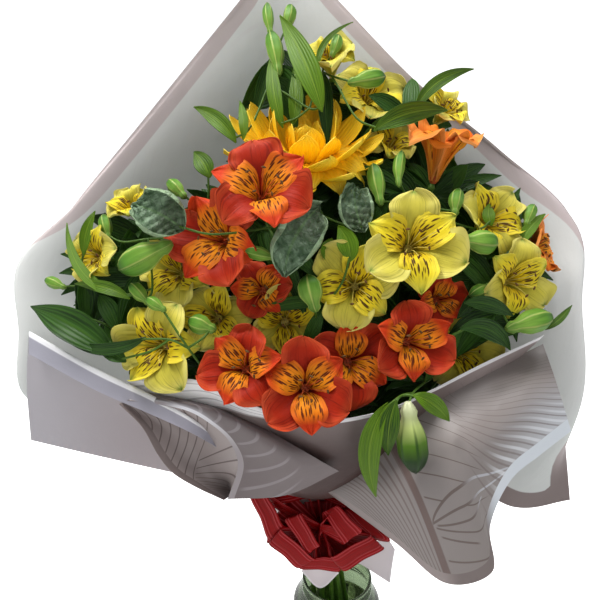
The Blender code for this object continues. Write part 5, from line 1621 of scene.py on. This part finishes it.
def sunflower(looks, sun_path, base, at, way):
    place = Matrix.Translation(at) @ frame_on(way)
    draw, extra = random.Random(3), random.Random(33)
    pile = Pile()
    for ring, (lift, length, offset) in enumerate(SUN_RINGS):
        for k in range(SUN_RAYS):
            turn = math.tau * (k + offset + draw.uniform(-0.1, 0.1)) / SUN_RAYS
            rise = lift + draw.uniform(-0.03, 0.03) + 0.12 * (k % 2)
            reach = SUN_RAY_LENGTH * length * draw.uniform(0.92, 1.05)
            phase, bend = extra.uniform(0, 6.28), extra.uniform(-0.10, 0.25)
            droop = 0.26 * max(0.0, -math.sin(turn)) ** 0.7

            def point(s, c, rise=rise, reach=reach, phase=phase, bend=bend, droop=droop):
                lean = rise + 0.35 * s - droop
                r = SUN_DISC * 0.80 + reach * s * math.cos(lean)
                z = reach * s * math.sin(lean) + 0.12 * SUN_RAY_WIDTH * c * c
                half = SUN_RAY_WIDTH / 2 * (0.12 + 0.92 * math.sin(math.pi * 0.90 * s ** 1.15) ** 0.75)
                half *= round_end(s, 0.72)
                z += 0.00030 * math.cos(c * 11.0) * math.sin(math.pi * s)
                z += 0.0012 * math.sin(5.0 * s + phase) * c * s + reach * bend * 0.10 * s * s
                return Vector((r, c * half, z))
            spot = place @ Matrix.Translation((0, 0, -0.003 + 0.002 * ring)) @ Matrix.Rotation(turn, 4, "Z")
            shell(pile, point, 18, 14, FINE_BLADE, extra.random(), 0, spot)
    for k in range(9):
        turn = -math.pi / 2 + (k - 4) * 0.42 + extra.uniform(-0.12, 0.12)
        rise = 0.34 + extra.uniform(-0.12, 0.16)
        reach = SUN_RAY_LENGTH * extra.uniform(0.62, 0.84)
        phase = extra.uniform(0, 6.28)
        twist = extra.uniform(-0.35, 0.35)

        def loose(s, c):
            lean = rise + 0.30 * s - 1.00 * s * s
            half = SUN_RAY_WIDTH / 2 * (0.14 + 0.90 * math.sin(math.pi * 0.88 * s) ** 0.8)
            half *= round_end(s, 0.70)
            r = SUN_DISC * 0.78 + reach * s * math.cos(lean)
            z = 0.0030 + reach * s * math.sin(lean * 0.8 + 0.12)
            z += 0.0022 * math.sin(6.0 * s + phase) * c
            z += half * twist * c * s
            return Vector((r, c * half, z + 0.0004 * math.cos(c * 11.0) + 0.14 * half * c * c))
        shell(pile, loose, 18, 14, FINE_BLADE, extra.random(), 0, place @ Matrix.Rotation(turn, 4, "Z"))
    for k in range(16):
        turn = math.tau * (k + 0.5 * (k // 8) + extra.uniform(-0.2, 0.2)) / 8
        inner = k // 8
        rise = 0.72 + 0.38 * inner + extra.uniform(-0.18, 0.2)
        reach = (0.043 - 0.012 * inner) * extra.uniform(0.85, 1.1)
        phase = extra.uniform(0, 6.28)

        def short(s, c):
            lean = rise + 0.38 * s
            half = 0.0120 * (0.2 + 0.85 * math.sin(math.pi * 0.88 * s) ** 0.8) * round_end(s, 0.70)
            r = SUN_DISC * (0.74 - 0.40 * inner) + reach * s * math.cos(lean)
            z = 0.0012 + reach * s * math.sin(lean) + 0.0016 * math.sin(5.0 * s + phase) * c
            return Vector((r, c * half, z + 0.0003 * math.cos(c * 11.0)))
        spot = place @ Matrix.Rotation(turn, 4, "Z")
        shell(pile, short, 14, 12, FINE_BLADE, extra.random(), 0, spot)
    pile.build("fine_sunflower_petals", looks["sun"], "sun_petal", "sunflower_petals")
    pile = Pile()
    line = smooth(sun_path + [base - way * 0.010], 6)
    pipe(pile, line, [STEM_RADIUS * 1.05] * len(line), 14, 0.4, 0)
    cup = [base - way * (0.012 - 0.0022 * i) for i in range(6)]
    pipe(pile, cup, [0.0026, 0.0046, 0.0074, 0.0098, 0.0112, 0.0116], 28, 0.6, 1)
    for k in range(26):
        turn = math.tau * k / 26
        ring = k % 2

        def point(s, c, turn=turn, ring=ring):
            r = 0.0100 + 0.013 * s
            z = -0.0075 - 0.003 * ring + 0.004 * s + 0.003 * s * s
            half = 0.0022 * (1.0 - s ** 2 * 0.95)
            return Vector((r * math.cos(turn) - c * half * math.sin(turn),
                           r * math.sin(turn) + c * half * math.cos(turn), z))
        shell(pile, point, 6, 4, FINE_BLADE, 0.5, 2, place)
    pile.build("fine_sunflower_stem", looks["stem"], "green", "sunflower_stem")
    pile = Pile()
    centre = place @ Matrix.Translation((0, 0, 0.0013))

    def dome_point(s, c):
        turn = math.pi * c
        r = SUN_DISC * 0.70 * s
        return polar(r, turn, 0.0036 * (1 - s * s) + 0.0004)
    shell(pile, dome_point, 12, 40, 0.0008, 0.5, 0, centre)
    for k in range(150):
        r = SUN_DISC * 0.68 * math.sqrt((k + 0.5) / 150)
        turn = k * 2.39996
        low = centre @ polar(r, turn, 0.0034 * (1 - (r / 0.0105) ** 2))
        pipe(pile, [low, low + way * 0.0010, low + way * 0.0018], [0.00042, 0.00048, 0.00020], 6,
             random.Random(k).random(), 0)
    pile.build("fine_sunflower_disc", looks["disc"], "disc", "sunflower_disc")


def film_sheets(looks):
    pile = Pile()
    shell(pile, fan_point(BACK_SHEET), 72, 150, FINE_FILM, 0.5, 0, None, "lrt")
    pile.build("fine_wrap_back", [looks["film_back"]], "film", "wrap_back")
    pile = Pile()
    shell(pile, fan_point(FRONT_SHEET), 64, 112, FINE_FILM, 0.5, 0, None, "t")
    shell(pile, row_point((WING_FOLD, WING_MIDDLE, WING_HEM)), 110, 48, FINE_FILM, 0.5, 1, None, "r")
    shell(pile, row_point((CURL_OUTER, CURL_MIDDLE, MOUTH_EDGE)), 60, 30, FINE_FILM, 0.5, 2, None, "l")
    shell(pile, row_point((MOUTH_EDGE, CONE_BULGE, CONE_END)), 60, 36, FINE_FILM, 0.5, 4, None, "l")
    shell(pile, row_point((LEFT_LOWER, LEFT_BELLY, LEFT_RIM, LEFT_LIP)), 60, 60, FINE_FILM, 0.5, 3, None, "r")
    pile.build("fine_wrap_front",
               [looks[k] for k in ("film_front", "film_wing", "film_curl", "film_left", "film_cone")],
               "film", "wrap_front")
    pile = Pile()

    def ring(s, c):
        turn = math.pi * c
        r = NECK_RADIUS - 0.0008 + 0.0004 * math.sin(14 * turn)
        return NECK + polar(r, turn, NECK_LOW - 0.014 + 0.0134 * s)
    shell(pile, ring, 6, 96, 0.0008, 0.5)
    for rows in TAILS:
        shell(pile, row_point(rows), 24, 18, FINE_FILM, 0.5, 0, None, "t")
    pile.build("fine_wrap_tails", [looks["film_tail"]], "film", "wrap_tails")


def fine_band(pile, far_edge, near_edge, tone):
    """A closed loop of ribbon through two rows of picture points, its ribs along it."""
    far = [seen(*p) for p in far_edge]
    near = [seen(*p) for p in near_edge]
    last = len(far) - 1

    def point(s, c):
        a, b = catmull(far, s * last), catmull(near, s * last)
        rib = 0.0006 * (math.exp(-((abs(c) - 0.52) / 0.08) ** 2) + math.exp(-((abs(c) - 0.82) / 0.08) ** 2))
        ahead = (catmull(far, min(last, s * last + 0.05)) - catmull(far, max(0.0, s * last - 0.05)))
        out = ahead.cross(b - a)
        out = out / max(out.length, 1e-9)
        return a.lerp(b, (c + 1) / 2) + out * rib
    shell(pile, point, 60, 22, FINE_BLADE, tone, 0)


def bow(looks):
    centre = seen(*BOW_SPOT)
    place = Matrix.Translation(centre) @ frame_on(facing(0.0, BOW_TILT))
    pile = Pile()
    for k, (angle, lean, length, width) in enumerate(BOW_BACKING):
        fine_loop(pile, length, width, math.radians(angle), lean, place, k * 0.1)
    for k, (far, near, depth) in enumerate(BOW_PANELS):
        hub_far, hub_near = BOW_HUB[0] + (depth + 0.010,), BOW_HUB[1] + (depth + 0.004,)
        rows = []
        for (a, b), hub, deep in ((far, hub_far, depth + 0.004), (near, hub_near, depth - 0.006)):
            a, b = a + (deep,), b + (deep,)
            half = tuple((x + y) / 2 for x, y in zip(a, b))
            half = (half[0], half[1], half[2] - 0.002)
            rows.append([hub] + [tuple(h + (x - h) * 0.6 for h, x in zip(hub, a)), a, half, b,
                                 tuple(h + (x - h) * 0.6 for h, x in zip(hub, b)), hub])
        fine_band(pile, rows[0], rows[1], 0.05 + 0.11 * k)
    knot = [centre + RIGHT * x for x in (-0.008, -0.006, 0.0, 0.006, 0.008)]
    pipe(pile, knot, [0.002, 0.0042, 0.0050, 0.0042, 0.002], 24, 0.5)
    band_front = NECK + Vector((-0.002, -TIE_RADIUS - 0.0014 - 0.0029, TIE_LEVEL))
    strap = [centre.lerp(band_front, t / 4) for t in range(5)]
    pipe(pile, strap, [0.0048, 0.0042, 0.0038, 0.0034, 0.0030], 16, 0.5)
    pile.build("fine_ribbon_bow", [looks["ribbon"]], "ribbon", "ribbon_bow")
    pile = Pile()

    def tie(s, c):
        turn = math.pi * c
        r = TIE_RADIUS + 0.0007
        return NECK + polar(r, turn, TIE_LEVEL + TIE_HEIGHT * (s - 0.5))
    shell(pile, tie, 12, 120, 0.0012, 0.5)
    pile.build("fine_ribbon_tie", [looks["ribbon"]], "ribbon", "ribbon_tie")


def vessel(looks, paths):
    inner = JAR_RADIUS - GLASS
    shoulder = JAR_HEIGHT - 0.030
    mouth = MOUTH_RADIUS - GLASS

    def curve(points, steps):
        rounded = []
        rows = [Vector((r, 0, z)) for r, z in points]
        for k in range((len(rows) - 1) * steps + 1):
            spot = catmull(rows, k / steps)
            rounded.append((spot.x, spot.z))
        return rounded
    inside = [(0.001, JAR_FLOOR), (inner - 0.006, JAR_FLOOR)]
    inside += curve(((inner - 0.004, JAR_FLOOR + 0.0004), (inner - 0.001, JAR_FLOOR + 0.003),
                     (inner, JAR_FLOOR + 0.007)), 3)
    inside += curve(((inner, shoulder - 0.010), (inner - 0.0008, shoulder),
                     (inner - 0.0045, shoulder + 0.008), (mouth, JAR_HEIGHT - 0.014),
                     (mouth, JAR_HEIGHT - 0.004)), 4)
    rim = curve(((mouth, JAR_HEIGHT - 0.0012), (mouth + 0.0010, JAR_HEIGHT - 0.0001),
                 (MOUTH_RADIUS - 0.0008, JAR_HEIGHT - 0.0001), (MOUTH_RADIUS, JAR_HEIGHT - 0.0014)), 3)
    outside = []
    for k in range(25):
        z = JAR_HEIGHT - 0.0025 - 0.010 * k / 24
        outside.append((MOUTH_RADIUS - 0.0010 + 0.0010 * math.cos(math.tau * k / 24 * 2.5) ** 2, z))
    outside += curve(((MOUTH_RADIUS - 0.0003, JAR_HEIGHT - 0.0135),
                      (JAR_RADIUS - 0.0055, shoulder + 0.0085), (JAR_RADIUS - 0.0010, shoulder + 0.001),
                      (JAR_RADIUS, shoulder - 0.008)), 4)
    outside += curve(((JAR_RADIUS, 0.009), (JAR_RADIUS - 0.0004, 0.005), (JAR_RADIUS - 0.002, 0.0018),
                      (JAR_RADIUS - 0.005, 0.0001)), 4)
    outside.append((0.001, 0.0001))
    lathe("fine_jar", inside + rim + outside, 96, looks["glass"], "jar", "jar")
    r = inner - GAP
    floor = JAR_FLOOR + GAP
    profile = [(0.001, WATER_LEVEL), (r - 0.002, WATER_LEVEL), (r - 0.0005, WATER_LEVEL + 0.0002),
               (r, WATER_LEVEL + 0.0008), (r, WATER_LEVEL - 0.002)]
    profile += [(r, JAR_FLOOR + 0.0075), (r - 0.0012, JAR_FLOOR + 0.0032), (r - 0.0043, floor),
                (0.001, floor)]
    made = lathe("fine_water", profile, 96, looks["water"], "water", "water")
    holes = bpy.data.collections.new("stem_holes")
    for path in paths:
        ahead = (path[1] - path[0]).normalized()
        radius = STEM_RADIUS + 0.0006
        mesh = cone_between(path[0] - ahead * 0.02, path[0] + ahead * 0.15, radius, radius, 14)
        holes.objects.link(bpy.data.objects.new("hole", mesh))
    cut = made.modifiers.new("holes", "BOOLEAN")
    cut.operation = "DIFFERENCE"
    cut.operand_type = "COLLECTION"
    cut.collection = holes
    graph = bpy.context.evaluated_depsgraph_get()
    fresh = bpy.data.meshes.new_from_object(made.evaluated_get(graph))
    made.modifiers.clear()
    made.data = fresh
    for hole in list(holes.objects):
        bpy.data.objects.remove(hole)
    bpy.data.collections.remove(holes)


def studio():
    look = Look("studio_white", Roughness=0.9)
    soft = look.noise(look.place(), 2.0, 1.0)
    look.wear(Base_Color=look.mix(look.step(soft, 0.3, 0.7), srgb(0.97, 0.97, 0.97),
                                  srgb(0.985, 0.985, 0.985)))
    look.shader.inputs["Emission Color"].default_value = (1.0, 1.0, 1.0, 1.0)
    # the floor glows to the eye only, so that it doesn't light the flowers from below
    sight = look.tree.nodes.new("ShaderNodeLightPath").outputs["Is Camera Ray"]
    look.wear(Emission_Strength=look.plus(look.times(sight, 0.70), 0.10))
    mesh = bpy.data.meshes.new("studio_floor")
    rows = [(0.5, 0.0), (1.5, 0.0), (3.0, 0.0)]
    rows += [(3.0 + 1.5 * math.sin(a), 1.5 - 1.5 * math.cos(a)) for a in np.linspace(0.15, math.pi / 2, 10)]
    rows.append((4.5, 3.2))
    verts = [(r * math.cos(math.tau * k / 64), r * math.sin(math.tau * k / 64), z - 0.0002)
             for r, z in rows for k in range(64)]
    faces = [(64 * i + k, 64 * i + (k + 1) % 64, 64 * (i + 1) + (k + 1) % 64, 64 * (i + 1) + k)
             for i in range(len(rows) - 1) for k in range(64)]
    verts.append((0.0, 0.0, -0.0002))
    faces += [(len(verts) - 1, (k + 1) % 64, k) for k in range(64)]
    mesh.from_pydata(verts, [], faces)
    mesh.materials.append(look.material)
    mesh.shade_smooth()
    floor = bpy.data.objects.new("studio_floor", mesh)
    bpy.context.scene.collection.objects.link(floor)
    world = bpy.data.worlds.new("studio")
    world.use_nodes = True
    world.node_tree.nodes["Background"].inputs["Color"].default_value = (0.97, 0.98, 1.0, 1.0)
    world.node_tree.nodes["Background"].inputs["Strength"].default_value = 0.33
    bpy.context.scene.world = world
    for name, spot, aim, size, power, colour in (
            ("key", (-0.65, 0.05, 1.80), (0.0, 0.0, 0.45), 0.6, 20.0, (1.0, 0.99, 0.97)),
            ("fill", (0.7, -1.5, 0.8), (0.0, 0.0, 0.40), 1.4, 1.6, (1.0, 0.98, 0.97)),
            ("top", (0.25, 0.25, 2.0), (0.0, 0.0, 0.45), 0.9, 14.0, (0.97, 0.98, 1.0))):
        data = bpy.data.lights.new(name, "AREA")
        data.shape = "DISK"
        data.size = size
        data.energy = power
        data.color = colour
        lamp = bpy.data.objects.new(name, data)
        lamp.location = spot
        lamp.rotation_euler = (Vector(aim) - Vector(spot)).to_track_quat("-Z", "Y").to_euler()
        bpy.context.scene.collection.objects.link(lamp)
    data = bpy.data.cameras.new("camera")
    data.lens = 36.0
    data.sensor_width = 36.0
    data.clip_start = 0.02
    eye = bpy.data.objects.new("camera", data)
    eye.location = EYE
    eye.rotation_euler = (math.radians(70), 0.0, 0.0)
    bpy.context.scene.collection.objects.link(eye)
    bpy.context.scene.camera = eye
    bpy.context.scene.view_settings.view_transform = "Standard"


def all_looks():
    brown = srgb(0.30, 0.10, 0.06)
    looks = {}
    filament = plain_look("red_filament", srgb(0.66, 0.26, 0.12), srgb(0.80, 0.40, 0.20), 0.5)
    pale_filament = plain_look("yellow_filament", srgb(0.86, 0.80, 0.40), srgb(0.80, 0.72, 0.32), 0.4)
    anther = plain_look("anther", srgb(0.46, 0.33, 0.17), srgb(0.32, 0.22, 0.12), 0.8, 900.0)
    looks["red"] = [
        petal_look("red_outer", ((0.0, srgb(0.46, 0.14, 0.03)), (0.25, srgb(0.58, 0.10, 0.02)),
                                 (0.72, srgb(0.70, 0.16, 0.04)), (1.0, srgb(0.82, 0.31, 0.16))),
                   srgb(0.86, 0.35, 0.19), 0.60, brown, 0.0, vein=0.80),
        petal_look("red_inner", ((0.0, srgb(0.80, 0.50, 0.12)), (0.25, srgb(0.95, 0.62, 0.10)),
                                 (0.55, srgb(0.95, 0.54, 0.08)), (0.78, srgb(0.80, 0.22, 0.05)),
                                 (1.0, srgb(0.84, 0.28, 0.13))), srgb(0.84, 0.28, 0.10), 0.60,
                   srgb(0.32, 0.07, 0.03), 0.95),
        filament, anther]
    looks["orange"] = [
        petal_look("orange_outer", ((0.0, srgb(0.86, 0.50, 0.14)), (0.3, srgb(0.95, 0.50, 0.12)),
                                    (0.8, srgb(0.97, 0.56, 0.20)), (1.0, srgb(0.97, 0.66, 0.36))),
                   srgb(0.98, 0.66, 0.38), 0.5, brown, 0.0),
        petal_look("orange_inner", ((0.0, srgb(0.86, 0.55, 0.12)), (0.4, srgb(0.98, 0.66, 0.14)),
                                    (0.8, srgb(0.96, 0.52, 0.12)), (1.0, srgb(0.95, 0.48, 0.18))),
                   srgb(0.97, 0.58, 0.24), 0.4, brown, 0.9),
        filament, anther]
    looks["yellow"] = [
        petal_look("yellow_outer", ((0.0, srgb(0.62, 0.66, 0.20)), (0.25, srgb(0.72, 0.68, 0.18)),
                                    (0.70, srgb(0.86, 0.81, 0.32)), (1.0, srgb(0.90, 0.86, 0.46))),
                   srgb(0.93, 0.89, 0.52), 0.55, brown, 0.0, srgb(0.45, 0.58, 0.22), vein=0.65),
        petal_look("yellow_inner", ((0.0, srgb(0.60, 0.50, 0.10)), (0.30, srgb(0.93, 0.80, 0.10)),
                                    (0.70, srgb(0.93, 0.84, 0.16)), (1.0, srgb(0.86, 0.84, 0.34))),
                   srgb(0.93, 0.88, 0.36), 0.35, srgb(0.26, 0.12, 0.06), 0.95, srgb(0.50, 0.62, 0.22), 0.74),
        pale_filament, anther]
    stem = plain_look("stem", srgb(0.32, 0.46, 0.14), srgb(0.24, 0.38, 0.10), 0.45)
    stalk = plain_look("stalk", srgb(0.32, 0.45, 0.14), srgb(0.24, 0.37, 0.11), 0.48)
    leaf = leaf_look("leaf", srgb(0.34, 0.48, 0.08), srgb(0.11, 0.25, 0.06), srgb(0.50, 0.61, 0.18), 26.0)
    # a darker copy of the leaf look: painted shade for the leaves in the gaps and low by the film
    deep = leaf_look("deep_leaf", srgb(0.20, 0.35, 0.10), srgb(0.07, 0.16, 0.05), srgb(0.27, 0.41, 0.14),
                     22.0)
    looks["stem"] = [stem, stalk, leaf, bud_look(), pale_bud_look(), wavy_look(), deep]
    looks["sun"] = [sun_look()]
    looks["disc"] = [plain_look("disc", srgb(0.30, 0.16, 0.06), srgb(0.16, 0.08, 0.04), 0.8, 900.0)]
    # The sheets are all one pale film, painted lighter or darker piece by piece for the light on it: the back
    # sheet and the tails are pale, painted light as if lit through the film; the front, wing, curl, left roll
    # and cone are greyer, painted shade; the front's white border along its rim is a painted highlight.
    # each film: its colour, shade and border, its print and the border's width
    for row in (
            ("film_back", srgb(0.90, 0.90, 0.89), srgb(0.86, 0.88, 0.87), srgb(0.79, 0.73, 0.73),
             back_lines, 0.016),
            ("film_front", srgb(0.64, 0.59, 0.58), srgb(0.58, 0.52, 0.51), srgb(0.95, 0.95, 0.96),
             front_lines, 0.0015),
            ("film_wing", srgb(0.57, 0.54, 0.53), srgb(0.52, 0.48, 0.46), srgb(0.47, 0.42, 0.41),
             wing_lines, 0.011),
            ("film_curl", srgb(0.66, 0.62, 0.61), srgb(0.60, 0.55, 0.54), srgb(0.48, 0.43, 0.42),
             curl_lines, 0.006),
            ("film_tail", srgb(0.88, 0.84, 0.85), srgb(0.82, 0.79, 0.80), srgb(0.90, 0.88, 0.89),
             tail_lines, 0.002),
            ("film_cone", srgb(0.46, 0.42, 0.42), srgb(0.39, 0.35, 0.35), srgb(0.64, 0.61, 0.62),
             cone_lines, 0.005),
            ("film_left", srgb(0.68, 0.64, 0.65), srgb(0.64, 0.60, 0.61), srgb(0.60, 0.60, 0.65),
             left_lines, 0.0002)):
        looks[row[0]] = film_look(*row)
    looks["ribbon"] = ribbon_look()
    looks["glass"] = glass_look()
    looks["water"] = water_look()
    return looks


looks = all_looks()
studio()
flowers(looks)
film_sheets(looks)
bow(looks)
stem_paths = [stem_path(place, seen(*spot)) for spot, place in STEMS.values()]
sun_base = seen(*SUN_SPOT) - facing(*SUN_FACING) * (SUN_BACK + GAP)
stem_paths.append(stem_path(SUNFLOWER_NECK, sun_base - facing(*SUN_FACING) * SUN_BEND))
vessel(looks, stem_paths)
